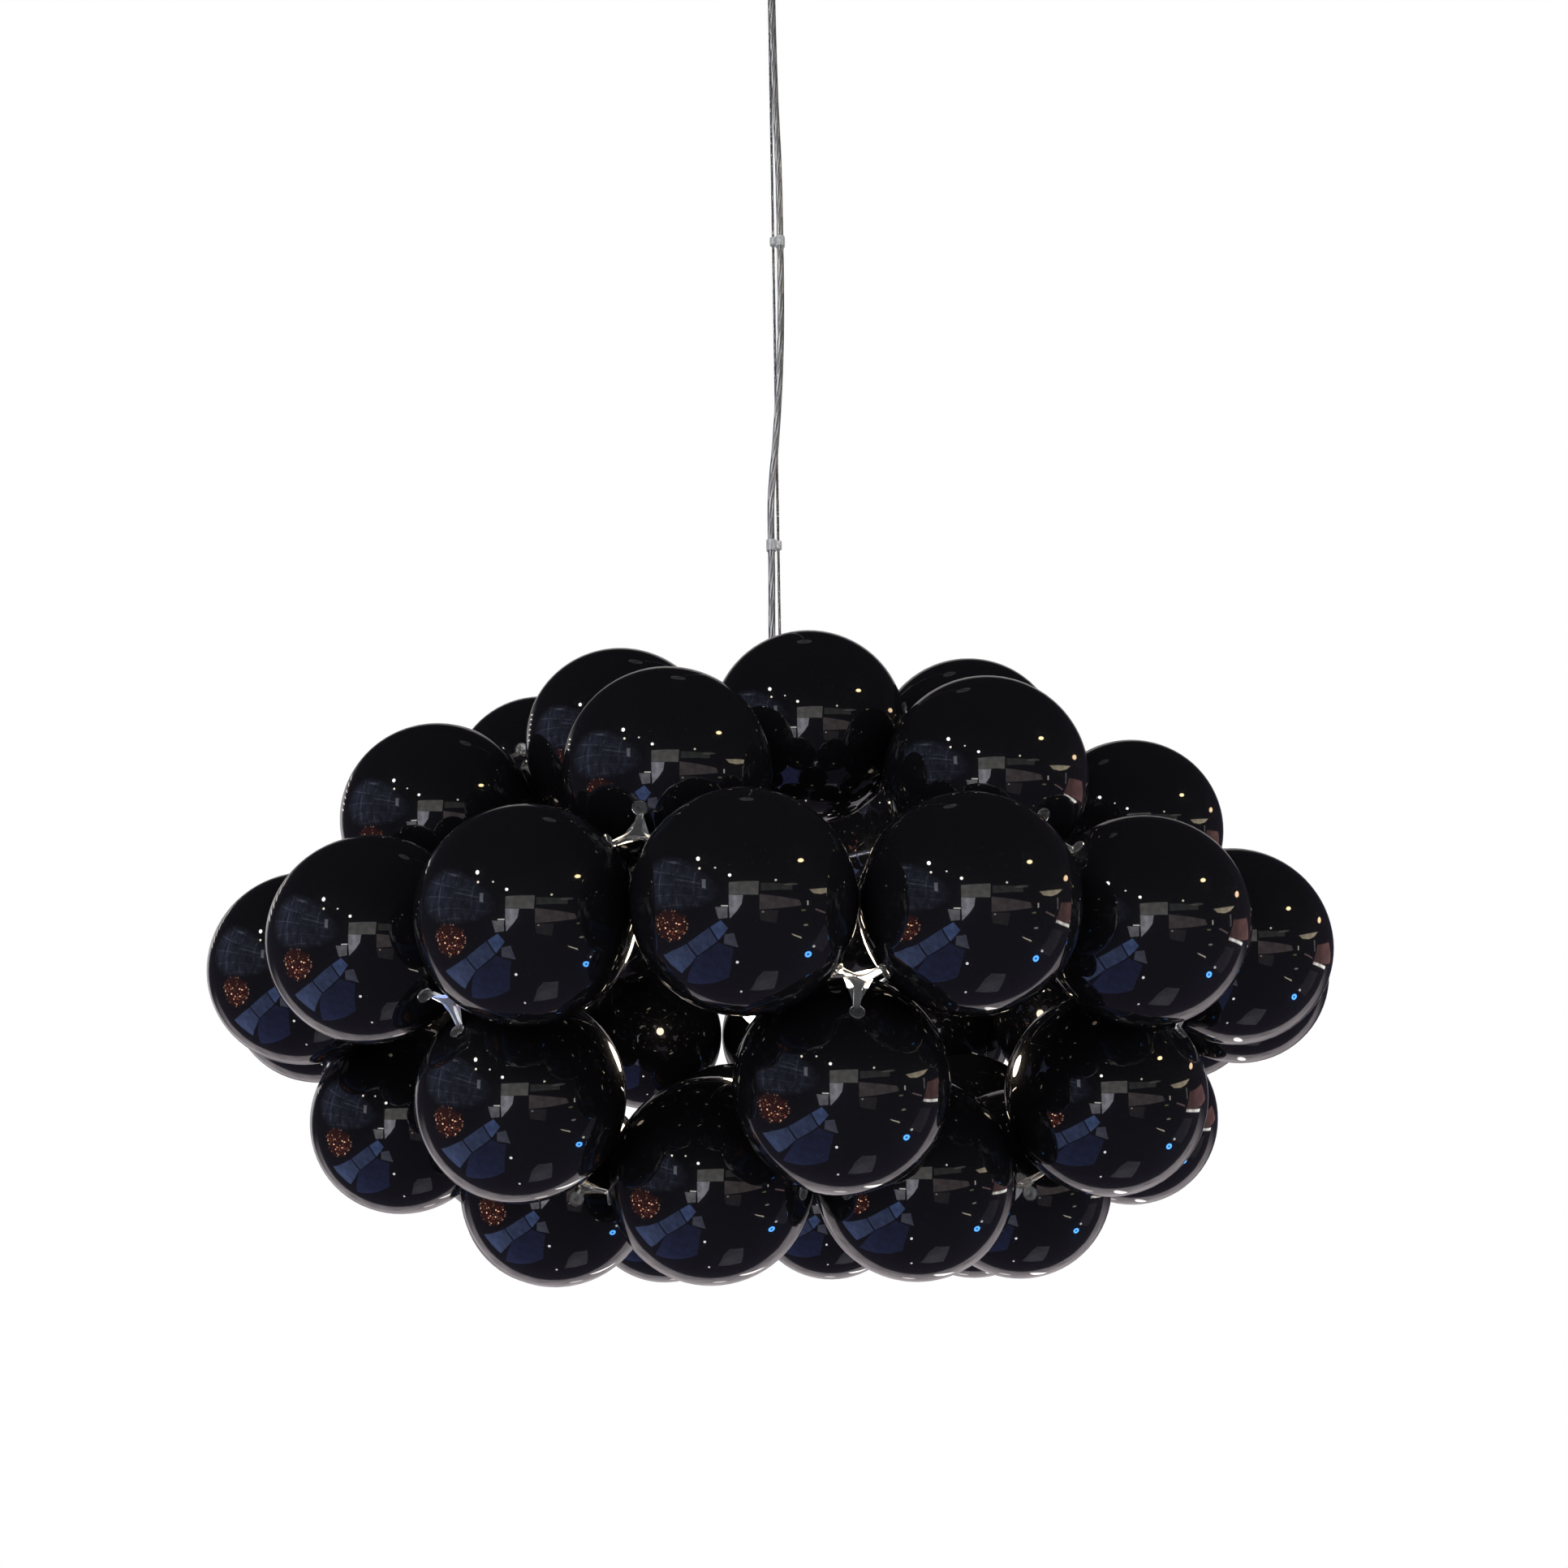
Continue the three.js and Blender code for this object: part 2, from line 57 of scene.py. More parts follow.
# Sizes of the solids, in metres
BALL_RADIUS = 0.065
RING_BALLS = 8
EQUATOR_BALLS = 16
EQUATOR_RADIUS = 0.3365
MID_RADIUS = 0.2642
MID_HEIGHT = 0.097
END_RADIUS = 0.1721
END_HEIGHT = 0.1476
CLUSTER_TURN = math.radians(-2.7)
CENTRE = mm(-8, 0, -940)
DISC_TILT = math.radians(67)
WEB_DROP = 0.0042
WEB_UNDERSIDE = BALL_RADIUS * math.cos(DISC_TILT) - WEB_DROP

WIRE_RADIUS = 0.0011
CABLE_RADIUS = 0.0027
CABLE_ROUTE = [
    mm(*point)
    for point in (
        (2.5, -10.5, -27), (2.5, -9.8, -36), (2.5, -7.6, -50), (2.3, -5.2, -70), (2.5, -4.0, -105),
        (2.9, -3.9, -160), (3.8, -3.2, -215), (5.0, -1.6, -255), (5.5, -0.4, -290), (5.6, 0.0, -315),
        (5.6, 0.0, -337), (5.6, 0.0, -360), (5.4, -0.6, -390), (4.6, -2.4, -425), (2.6, -4.2, -468),
        (-0.9, -4.8, -516), (-3.4, -3.8, -540), (-4.9, -1.4, -558), (-5.4, 0.0, -576), (-5.4, 0.0, -598),
        (-5.4, 0.0, -620), (-5.9, 0.0, -660), (-6.5, 0.0, -720), (-7.4, 0.0, -790), (-8.0, 0.0, -840),
        (-8.0, 0.0, -864),
    )
]
# The link's two pins, and the eyes that they hang in
LOWER_PIN = -0.033
UPPER_PIN = -0.012
PIN_RADIUS = 0.002
PIN_HOLE_RADIUS = 0.00255

# The camera, from the outlines of the balls in the photo: its place is measured from the cluster's centre,
# along its own right, up and forward directions.
PHOTO_SIDE = 1932
FOCAL_PIXELS = 2395
SENSOR_WIDTH = 36
PITCH = math.radians(13.87)
ROLL = math.radians(-0.95)
CAMERA_RIGHT = 0.0068
CAMERA_UP = 0.1468
CAMERA_BACK = 1.4285

right = Vector((math.cos(ROLL), 0, math.sin(ROLL)))
forward = Vector((-math.sin(PITCH) * math.sin(ROLL), math.cos(PITCH), math.sin(PITCH) * math.cos(ROLL)))
upward = Vector((-math.cos(PITCH) * math.sin(ROLL), -math.sin(PITCH), math.cos(PITCH) * math.cos(ROLL)))


def add_object(name, data):
    thing = bpy.data.objects.new(name, data)
    bpy.context.scene.collection.objects.link(thing)
    return thing


def add_camera():
    data = bpy.data.cameras.new("camera")
    data.sensor_fit = "HORIZONTAL"
    data.sensor_width = SENSOR_WIDTH
    data.lens = SENSOR_WIDTH * FOCAL_PIXELS / PHOTO_SIDE
    data.clip_start = 0.05
    camera = add_object("camera", data)
    place_at = CENTRE + right * CAMERA_RIGHT + upward * CAMERA_UP - forward * CAMERA_BACK
    turn = Matrix((right, upward, -forward)).transposed().to_4x4()
    camera.matrix_world = Matrix.Translation(place_at) @ turn
    bpy.context.scene.camera = camera


add_camera()


# Materials
def feed(tree, socket, value):
    """Gives a socket a number, a colour or another node's output."""
    if isinstance(value, bpy.types.NodeSocket):
        tree.links.new(value, socket)
    else:
        socket.default_value = value


def add_node(tree, kind, inputs=None, **settings):
    node = tree.nodes.new("ShaderNode" + kind)
    for name, value in settings.items():
        setattr(node, name, value)
    for name, value in (inputs or {}).items():
        feed(tree, node.inputs[name], value)
    return node


def calculate(tree, kind, *values):
    return add_node(tree, "Math", dict(enumerate(values)), operation=kind).outputs["Value"]


def noise(tree, scale, detail=2.0, stretch=(1, 1, 1)):
    where = add_node(tree, "TexCoord").outputs["Object"]
    mapped = add_node(tree, "Mapping", {"Vector": where, "Scale": stretch}).outputs["Vector"]
    texture = add_node(tree, "TexNoise", {"Vector": mapped, "Scale": scale, "Detail": detail})
    return texture.outputs["Fac"]


def spread(tree, value, low, high, start=0.0, end=1.0, how="LINEAR"):
    """Low where the value is start, and high where it is end."""
    inputs = {"Value": value, "From Min": start, "From Max": end, "To Min": low, "To Max": high}
    return add_node(tree, "MapRange", inputs, interpolation_type=how).outputs["Result"]


def colours(tree, value, first, second):
    inputs = {"Factor": value, "A": (*first, 1), "B": (*second, 1)}
    return add_node(tree, "Mix", inputs, data_type="RGBA").outputs["Result"]


def new_material(name):
    material = bpy.data.materials.new(name)
    material.use_nodes = True
    return material, material.node_tree


def dress(material, look, height=None, depth=0.0):
    """Sets the surface shader's sockets, and bumps it by a height map with a depth in metres."""
    tree = material.node_tree
    shader = tree.nodes["Principled BSDF"]
    for name, value in look.items():
        feed(tree, shader.inputs[name], value)
    if height is not None:
        bump = add_node(tree, "Bump", {"Height": height, "Distance": depth, "Strength": 1.0})
        feed(tree, shader.inputs["Normal"], bump.outputs["Normal"])
    return material


def ball_gloss():
    material, tree = new_material("ball_gloss")
    dust = spread(tree, noise(tree, 900, 1.0), 0.0, 1.0, 0.70, 0.78)
    look = {
        "Base Color": colours(tree, dust, (0.0035, 0.0035, 0.0045), (0.012, 0.012, 0.013)),
        "Roughness": spread(tree, noise(tree, 22, 3.0), 0.008, 0.035, 0.35, 0.75),
        "IOR": 1.5,
        "Coat Weight": 0.06,
        "Coat Roughness": 0.32,
    }
    return dress(material, look, noise(tree, 16, 1.0), 0.00003)


def clear_plastic():
    material, tree = new_material("clear_plastic")
    look = {
        "Base Color": (0.97, 0.98, 0.99, 1),
        "Transmission Weight": 0.965,
        "IOR": 1.49,
        "Roughness": spread(tree, noise(tree, 400), 0.02, 0.08, 0.4, 0.7),
    }
    return dress(material, look, noise(tree, 260), 0.00005)


def clip_frost():
    material, tree = new_material("clear_cord_clip")
    look = {
        "Base Color": (0.93, 0.94, 0.95, 1),
        "Transmission Weight": 0.75,
        "IOR": 1.49,
        "Roughness": spread(tree, noise(tree, 500), 0.14, 0.3, 0.35, 0.7),
    }
    return dress(material, look, noise(tree, 700), 0.00004)


def cable_sheath():
    material, tree = new_material("clear_sheath")
    along = noise(tree, 300, stretch=(1, 1, 0.06))
    look = {
        "Base Color": (0.93, 0.945, 0.95, 1),
        "Transmission Weight": 1,
        "IOR": 1.46,
        "Roughness": spread(tree, along, 0.10, 0.22, 0.3, 0.7),
    }
    return dress(material, look, along, 0.00005)


# The wave texture's scale that gives one strand to each unit
ONE_STRAND = 0.314
WINDS_PER_METRE = 60


def wound_strands(name, first, second, turns, roughness):
    """Bright strands wound round a core, with painted shade darkening the grooves between them: the UV map
    has one unit round it and metres along it.
    """
    material, tree = new_material(name)
    where = add_node(tree, "TexCoord").outputs["UV"]
    mapped = add_node(tree, "Mapping", {"Vector": where, "Scale": (turns, WINDS_PER_METRE, 1)})
    inputs = {"Vector": mapped.outputs["Vector"], "Scale": ONE_STRAND, "Distortion": 0.0, "Detail": 0.0}
    strands_and_groove_shade = add_node(tree, "TexWave", inputs, wave_type="BANDS", bands_direction="DIAGONAL").outputs["Fac"]
    look = {
        # The bands give the grooves between the strands the darker first colour: this is painted shade.
        "Base Color": colours(tree, strands_and_groove_shade, first, second),
        "Metallic": 1,
        "Roughness": spread(tree, noise(tree, 900), roughness, roughness + 0.15, 0.35, 0.7),
    }
    return dress(material, look, strands_and_groove_shade, 0.00012)


def drawn_steel(name):
    material, tree = new_material(name)
    grain = noise(tree, 700, 3.0, (1, 1, 0.12))
    look = {
        "Base Color": colours(tree, grain, (0.50, 0.51, 0.52), (0.66, 0.67, 0.68)),
        "Metallic": 1,
        "Roughness": spread(tree, grain, 0.2, 0.36, 0.3, 0.7),
    }
    return dress(material, look, grain, 0.00002)


def zinc_plate():
    material, tree = new_material("zinc_plated_steel")
    look = {
        "Base Color": colours(tree, noise(tree, 60, 4.0), (0.46, 0.47, 0.48), (0.62, 0.62, 0.61)),
        "Metallic": 1,
        "Roughness": spread(tree, noise(tree, 240), 0.28, 0.45, 0.3, 0.7),
    }
    return dress(material, look, noise(tree, 1400), 0.00002)


def brushed_steel():
    """Satin steel brushed in rings round Z: the grain changes with the distance from Z and the height."""
    material, tree = new_material("brushed_steel")
    where = add_node(tree, "TexCoord").outputs["Object"]
    parts = add_node(tree, "SeparateXYZ", {"Vector": where}).outputs
    flat = add_node(tree, "VectorMath", {0: where, 1: (1, 1, 0)}, operation="MULTIPLY")
    radius = add_node(tree, "VectorMath", {0: flat.outputs["Vector"]}, operation="LENGTH")
    turn = calculate(tree, "MULTIPLY", calculate(tree, "ARCTAN2", parts["Y"], parts["X"]), 0.002)
    ring = {"X": radius.outputs["Value"], "Y": turn, "Z": parts["Z"]}
    where = add_node(tree, "CombineXYZ", ring).outputs["Vector"]
    texture = add_node(tree, "TexNoise", {"Vector": where, "Scale": 1100.0, "Detail": 3.0})
    grain = spread(tree, texture.outputs["Fac"], 0.0, 1.0, 0.3, 0.7)
    look = {
        "Base Color": colours(tree, grain, (0.50, 0.505, 0.51), (0.64, 0.64, 0.635)),
        "Metallic": 0.55,
        "Roughness": spread(tree, grain, 0.30, 0.42),
    }
    return dress(material, look, grain, 0.000008)


def moulded(name, first, second, rough):
    """A satin moulding with a fine grain."""
    material, tree = new_material(name)
    look = {
        "Base Color": colours(tree, noise(tree, 180, 3.0), first, second),
        "Roughness": spread(tree, noise(tree, 600), rough, rough + 0.14, 0.3, 0.7),
    }
    return dress(material, look, noise(tree, 1500), 0.00004)


def lit_diffuser():
    material, tree = new_material("opal_diffuser")
    look = {
        "Base Color": (0.9, 0.88, 0.82, 1),
        "Roughness": 0.35,
        "Emission Color": colours(tree, noise(tree, 40), (1.0, 0.80, 0.58), (1.0, 0.86, 0.68)),
        "Emission Strength": 28,
    }
    return dress(material, look)


BALL = ball_gloss()
CLEAR = clear_plastic()
CORD_CLIP = clip_frost()
SHEATH = cable_sheath()
# The darker first colour of each wound material is painted shade in the grooves between its strands.
TINNED = wound_strands("tinned_strands", (0.27, 0.27, 0.28), (0.78, 0.78, 0.78), 4, 0.34)
ROPE = wound_strands("wire_rope", (0.34, 0.34, 0.35), (0.70, 0.70, 0.71), 6, 0.22)
STEEL = drawn_steel("bright_steel")
ZINC = zinc_plate()
BRUSHED = brushed_steel()
WHITE_PLASTIC = moulded("white_plastic", (0.72, 0.71, 0.68), (0.80, 0.79, 0.76), 0.4)
BLACK_PLASTIC = moulded("black_plastic", (0.012, 0.012, 0.013), (0.024, 0.024, 0.025), 0.38)
DIFFUSER = lit_diffuser()
NICKEL = drawn_steel("nickel_plate")


# Mesh building
SAME_POINT = 1e-6


def object_from(name, mesh, material, sharp=35):
    mesh.name = name
    mesh.shade_smooth()
    mesh.set_sharp_from_angle(angle=math.radians(sharp))
    mesh.materials.clear()
    mesh.materials.append(material)
    return add_object(name, mesh)


def mesh_of(build):
    mesh = bpy.data.meshes.new("shape")
    build.to_mesh(mesh)
    build.free()
    return mesh


def mesh_from(verts, faces, uvs=None):
    mesh = bpy.data.meshes.new("shape")
    mesh.from_pydata([tuple(v) for v in verts], [], faces)
    if uvs:
        layer = mesh.uv_layers.new(name="UVMap")
        for loop, place_on_map in zip(layer.data, (uv for face in uvs for uv in face)):
            loop.uv = place_on_map
    mesh.validate()
    build = bmesh.new()
    build.from_mesh(mesh)
    bmesh.ops.recalc_face_normals(build, faces=build.faces)
    build.to_mesh(mesh)
    build.free()
    return mesh


def transformed(mesh, matrix):
    mesh.transform(matrix)
    return mesh


def facing(direction, axis="Z"):
    """The turn that points an axis in a direction."""
    return direction.to_track_quat(axis, "Y").to_matrix().to_4x4()


def bands(rows, sides):
    """The faces between each ring of points and the next one. A ring may be a single point."""
    faces = []
    for low, high in zip(rows, rows[1:]):
        for i in range(sides):
            j = (i + 1) % sides
            corners = [low[i % len(low)], low[j % len(low)], high[j % len(high)], high[i % len(high)]]
            face = list(dict.fromkeys(corners))
            if len(face) > 2:
                faces.append(face)
    return faces


def lathe(profile, segments=64):
    """A profile of (radius, height) turned round Z. It starts and ends on the axis, or closes."""
    closed = profile[0] == profile[-1]
    verts, rows, kept = [], [], []
    for point in profile[:-1] if closed else profile:
        if kept and math.dist(point, kept[-1]) <= SAME_POINT:
            continue
        kept.append(point)
        radius, height = point
        start = len(verts)
        for i in range(segments if radius > SAME_POINT else 1):
            a = TURN * i / segments
            verts.append((radius * math.cos(a), radius * math.sin(a), height))
        rows.append(range(start, len(verts)))
    if closed:
        rows.append(rows[0])
    return mesh_from(verts, bands(rows, segments))


def arc(centre, radius, start, end, steps):
    """Points of a circle's arc in a profile, from one angle to another, in degrees."""
    angles = [math.radians(start + (end - start) * i / steps) for i in range(steps + 1)]
    return [(centre[0] + radius * math.cos(a), centre[1] + radius * math.sin(a)) for a in angles]


def disc_profile(radius, low, high, edge):
    """A solid disc or post with rounded rims."""
    return [
        (0, low),
        *arc((radius - edge, low + edge), edge, -90, 0, 4),
        *arc((radius - edge, high - edge), edge, 0, 90, 4),
        (0, high),
    ]


def smooth_path(points, step):
    """Points about a step apart on a centripetal Catmull-Rom curve through the given ones."""
    ends = [2 * points[0] - points[1], *points, 2 * points[-1] - points[-2]]
    path = []
    for p0, p1, p2, p3 in zip(ends, ends[1:], ends[2:], ends[3:]):
        t1 = (p1 - p0).length ** 0.5
        t2 = t1 + (p2 - p1).length ** 0.5
        t3 = t2 + (p3 - p2).length ** 0.5
        count = max(1, round((p2 - p1).length / step))
        for i in range(count):
            t = t1 + (t2 - t1) * i / count
            a1 = p0 * (t1 - t) / t1 + p1 * t / t1
            a2 = p1 * (t2 - t) / (t2 - t1) + p2 * (t - t1) / (t2 - t1)
            a3 = p2 * (t3 - t) / (t3 - t2) + p3 * (t - t2) / (t3 - t2)
            b1 = a1 * (t2 - t) / t2 + a2 * t / t2
            b2 = a2 * (t3 - t) / (t3 - t1) + a3 * (t - t1) / (t3 - t1)
            path.append(b1 * (t2 - t) / (t2 - t1) + b2 * (t - t1) / (t2 - t1))
    path.append(points[-1])
    return path


def carried(path):
    """Each point of a path, two directions across it that turn as little as they can, and its distance."""
    across = Vector((1, 0, 0))
    distance = 0.0
    for i, point in enumerate(path):
        ahead = (path[min(i + 1, len(path) - 1)] - path[max(i - 1, 0)]).normalized()
        across = (across - ahead * across.dot(ahead)).normalized()
        if i:
            distance += (point - path[i - 1]).length
        yield point, across, ahead.cross(across), distance


def sweep(path, section, sides):
    """A closed tube along a path. section(angle, distance) is its radius there."""
    verts, distances = [], []
    for point, across, side, distance in carried(path):
        distances.append(distance)
        for k in range(sides):
            a = TURN * k / sides
            verts.append(point + (across * math.cos(a) + side * math.sin(a)) * section(a, distance))
    rows = [range(i, i + sides) for i in range(0, len(verts), sides)]
    uvs = []
    for start, end in zip(distances, distances[1:]):
        for k in range(sides):
            u0, u1 = k / sides, (k + 1) / sides
            uvs.append([(u0, start), (u1, start), (u1, end), (u0, end)])
    uvs += [[(0, 0)] * sides] * 2
    return mesh_from(verts, [*bands(rows, sides), tuple(reversed(rows[0])), tuple(rows[-1])], uvs)


def round_tube(path, radius, sides=16):
    return sweep(path, lambda a, s: radius, sides)


def bar(radius, start, end, segments=32, edge=0.0002):
    """A straight round bar between two points, with rounded rims."""
    along = end - start
    mesh = lathe(disc_profile(radius, 0, along.length, edge), segments)
    return transformed(mesh, Matrix.Translation(start) @ facing(along))


def box_mesh(low, high, edge=0.0003):
    """A box between two corners, with rounded edges."""
    build = bmesh.new()
    bmesh.ops.create_cube(build, size=1)
    stretch = Matrix.Translation((high + low) / 2) @ Matrix.Diagonal((*(high - low), 1))
    bmesh.ops.transform(build, matrix=stretch, verts=build.verts)
    if edge:
        bmesh.ops.bevel(build, geom=list(build.edges), offset=edge, segments=3, profile=0.5, affect="EDGES")
    return mesh_of(build)


def joined(first, second, how):
    """The union or difference of two meshes, without its slivers."""
    pair = [add_object("operand", mesh) for mesh in (first, second)]
    change = pair[0].modifiers.new("join", "BOOLEAN")
    change.operation = how
    change.solver = "EXACT"
    change.object = pair[1]
    bpy.context.view_layer.update()
    graph = bpy.context.evaluated_depsgraph_get()
    whole = bpy.data.meshes.new_from_object(pair[0].evaluated_get(graph))
    for piece in pair:
        bpy.data.objects.remove(piece)
    build = bmesh.new()
    build.from_mesh(whole)
    bmesh.ops.remove_doubles(build, verts=build.verts, dist=SAME_POINT)
    bmesh.ops.dissolve_degenerate(build, edges=build.edges, dist=SAME_POINT)
    build.to_mesh(whole)
    build.free()
    whole.validate()
    return whole


def combine(shapes, cuts=()):
    """One mesh from meshes joined together, less other meshes."""
    whole = shapes[0]
    for shape in shapes[1:]:
        whole = joined(whole, shape, "UNION")
    for cut in cuts:
        whole = joined(whole, cut, "DIFFERENCE")
    return whole


def place(piece, body, node):
    """The piece rides on a body and stands for a node, whose imported part is hidden."""
    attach(piece, body)
    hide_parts(node)


# The suspension wire: six strands wound together, with the eye and sleeve at the top and the stop below
HOLDER_TOP = 0.0827
WIRE_TOP = LOWER_PIN - 0.004
WIRE_END = CENTRE.z + HOLDER_TOP - 0.0066
WIRE_LAY = 0.018
WIRE_STRANDS = 6
WIRE_STEPS = 520


def rope_section(angle, distance):
    """Round strands side by side, which turn once in each lay."""
    turned = angle * WIRE_STRANDS + TURN * WIRE_STRANDS * distance / WIRE_LAY
    return WIRE_RADIUS * (0.905 + 0.095 * math.cos(turned))


wire_path = [
    Vector((0, 0, WIRE_TOP + (WIRE_END - WIRE_TOP) * i / WIRE_STEPS)) for i in range(WIRE_STEPS + 1)
]
wire = object_from("wire_rope", sweep(wire_path, rope_section, 36), ROPE, sharp=60)
sleeve = [(0, -0.022), (0.0016, -0.022), (0.002, -0.0212), (0.002, -0.0075), (0.0024, -0.005)]
sleeve += [(0.0024, -0.0035), (0, -0.0035)]
eye = combine(
    [
        bar(0.0055, Vector((-0.0025, 0, LOWER_PIN)), Vector((0.0025, 0, LOWER_PIN)), 48, 0.0006),
        lathe([(radius, LOWER_PIN + height) for radius, height in sleeve], 40),
    ],
    [bar(PIN_HOLE_RADIUS, Vector((-0.01, 0, LOWER_PIN)), Vector((0.01, 0, LOWER_PIN)))],
)
wire_eye = object_from("wire_eye", eye, STEEL)
stop = lathe(disc_profile(0.0032, WIRE_END, WIRE_END + 0.006, 0.0006), 40)
wire_stop = object_from("wire_stop", stop, STEEL)
for piece in (wire, wire_eye, wire_stop):
    place(piece, "pendant", "suspension_wire")

# The power cable: a clear sheath over three tinned conductors wound together
CABLE_LAY = 0.052
CABLE_STEP = 0.003
CONDUCTOR_RADIUS = 0.00094
CONDUCTOR_OFFSET = 0.00112

cable_path = smooth_path(CABLE_ROUTE, CABLE_STEP)
sheath = object_from("cable_sheath", round_tube(cable_path, CABLE_RADIUS, 28), SHEATH)


def wound(path, phase):
    """A path wound round another one."""
    points = []
    for point, across, side, distance in carried(path):
        a = phase + TURN * distance / CABLE_LAY
        points.append(point + (across * math.cos(a) + side * math.sin(a)) * CONDUCTOR_OFFSET)
    return points


conductors = []
for i in range(3):
    path = wound(cable_path, TURN * i / 3)
    conductor = object_from(f"conductor_{i + 1}", round_tube(path[1:-1], CONDUCTOR_RADIUS, 12), TINNED)
    conductors.append(conductor)

# The two leads into the terminals: each is made in a lower and an upper piece
LEAD_RADIUS = 0.0008
LEAD_STEP = 0.0008
# In millimetres, as mm() takes them
TERMINAL_X = 5.5
TERMINAL_Z = -12.15

for side in (-1, 1):
    start = CABLE_ROUTE[0] + mm(side * 0.9, 0, -1)
    points = [
        start,
        start + mm(side * 0.6, -0.4, 5),
        mm(1.6 + side * 4.0, -13.5, -14.5),
        mm(side * TERMINAL_X, -19.5, TERMINAL_Z),
        mm(side * TERMINAL_X, -27.0, TERMINAL_Z),
    ]
    name = "lead_left" if side < 0 else "lead_right"
    path = smooth_path(points, LEAD_STEP)
    split = min(range(len(path)), key=lambda i: (path[i] - points[2]).length)
    for part, half, bodies, ends in (
        ("lower", path[: split + 1], ("pendant", "link"), (points[0], points[2])),
        ("upper", path[split:], ("link", "ceiling"), (points[2], points[3])),
    ):
        lead = object_from(f"{name}_{part}", round_tube(half, LEAD_RADIUS, 14), TINNED)
        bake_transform(lead)
        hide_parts("power_cable")
for piece in (sheath, *conductors):
    place(piece, "pendant", "power_cable")


# The cord clips: a barrel round the cable, a smaller one round the wire, and a bridge between them
WIRE_HOLE_RADIUS = 0.00138
CABLE_HOLE_RADIUS = 0.0031


def cord_clip(name, drop, cable_x):
    middle = mm(0, 0, -drop)
    reach = mm(cable_x, 0, 0)
    barrels = [
        (lathe(disc_profile(0.0039, -0.00475, 0.00475, 0.0008), 60), middle + reach),
        (lathe(disc_profile(0.0027, -0.0036, 0.0036, 0.0008), 44), middle),
    ]
    bridge = box_mesh(
        middle + Vector((min(0, reach.x), -0.00187, -0.00335)),
        middle + Vector((max(0, reach.x), 0.00187, 0.00335)),
        0.0004,
    )
    cuts = [
        bar(WIRE_HOLE_RADIUS, middle - mm(0, 0, 8), middle + mm(0, 0, 8)),
        bar(CABLE_HOLE_RADIUS, middle + reach - mm(0, 0, 8), middle + reach + mm(0, 0, 8), 48),
    ]
    shapes = [transformed(barrel, Matrix.Translation(axis)) for barrel, axis in barrels]
    return object_from(name, combine([*shapes, bridge], cuts), CORD_CLIP, sharp=40)


place(cord_clip("clip_on_cord_upper", 337, 5.6), "upper_cord_clip", "cord_clip_upper")
place(cord_clip("clip_on_cord_lower", 598, -5.4), "lower_cord_clip", "cord_clip_lower")


# Where the balls are: azimuth 0 is towards -Y, and grows towards +X
def ring_point(radius, azimuth, height):
    return Vector((radius * math.sin(azimuth), -radius * math.cos(azimuth), height))


STEP = TURN / RING_BALLS


def equator_centre(k):
    return ring_point(EQUATOR_RADIUS, CLUSTER_TURN + k * STEP / 2, 0)


def ring_of(radius, share, height):
    """Gives the centre of each ball of a ring, which starts a share of a step round."""
    return lambda j: ring_point(radius, CLUSTER_TURN + (j + share) * STEP, height)


upper_centre = ring_of(MID_RADIUS, -0.25, MID_HEIGHT)
lower_centre = ring_of(MID_RADIUS, 0.25, -MID_HEIGHT)
top_centre = ring_of(END_RADIUS, 0.25, END_HEIGHT)
bottom_centre = ring_of(END_RADIUS, -0.25, -END_HEIGHT)


def clip_frame(balls):
    """A clip's hub on the web's underside, its normal, and each arm: the ball, the way to it, and its peg."""
    middle = sum(balls, Vector()) / 3
    normal = (balls[1] - balls[0]).cross(balls[2] - balls[0]).normalized()
    if normal.dot(middle) < 0:
        normal.negate()
    arms = []
    for ball in balls:
        ahead = (ball - middle).normalized()
        out = normal * math.cos(DISC_TILT) - ahead * math.sin(DISC_TILT)
        arms.append({"ball": ball, "ahead": ahead, "out": out})
    return {"middle": middle, "hub": middle + normal * WEB_UNDERSIDE, "normal": normal, "arms": arms}


def upper_clip(j):
    return clip_frame([upper_centre(j), equator_centre(2 * j - 1), equator_centre(2 * j)])


def lower_clip(j):
    return clip_frame([lower_centre(j), equator_centre(2 * j), equator_centre(2 * j + 1)])


def top_clip(j):
    return clip_frame([upper_centre(j), top_centre(j - 1), top_centre(j)])


def bottom_clip(j):
    return clip_frame([lower_centre(j), bottom_centre(j), bottom_centre(j + 1)])


# The clear clips
WEB_THICKNESS = 0.0024
WEB_EDGE = 0.0006
ARM_END = 0.0020
ARM_ROOT = 0.0027
ARM_ROOT_AT = 0.0003
ARM_CORNER = 0.0009
ARM_GAP = 0.0003
ARM_END_STEPS = 10
ARM_SIDE_STEPS = 22
# A disc and its peg: radius, and height above the ball's surface, in millimetres
PEG_PROFILE = [
    (0, -7.0), (1.2, -7.0), (1.75, -6.4), (1.95, -5.4), (1.6, -4.6), (1.6, 0.3), (4.3, 0.24),
    (4.55, 0.34), (4.68, 0.6), (4.7, 1.1), (4.6, 1.5), (4.35, 1.7), (4.1, 1.66), (3.85, 1.4),
    (3.5, 1.24), (2.2, 1.2), (1.7, 1.26), (1.3, 1.4), (0, 1.45),
]


def local_frame(clip):
    """The matrix from a clip's own frame, with its first arm along X, to the cluster's frame."""
    x, z = clip["arms"][0]["ahead"], clip["normal"]
    return Matrix.Translation(clip["hub"]) @ Matrix((x, z.cross(x), z)).transposed().to_4x4()


def bezier(a, b, c, d, steps):
    points = []
    for i in range(steps):
        t = i / steps
        s = 1 - t
        points.append(a * s**3 + b * 3 * s * s * t + c * 3 * s * t * t + d * t**3)
    return points


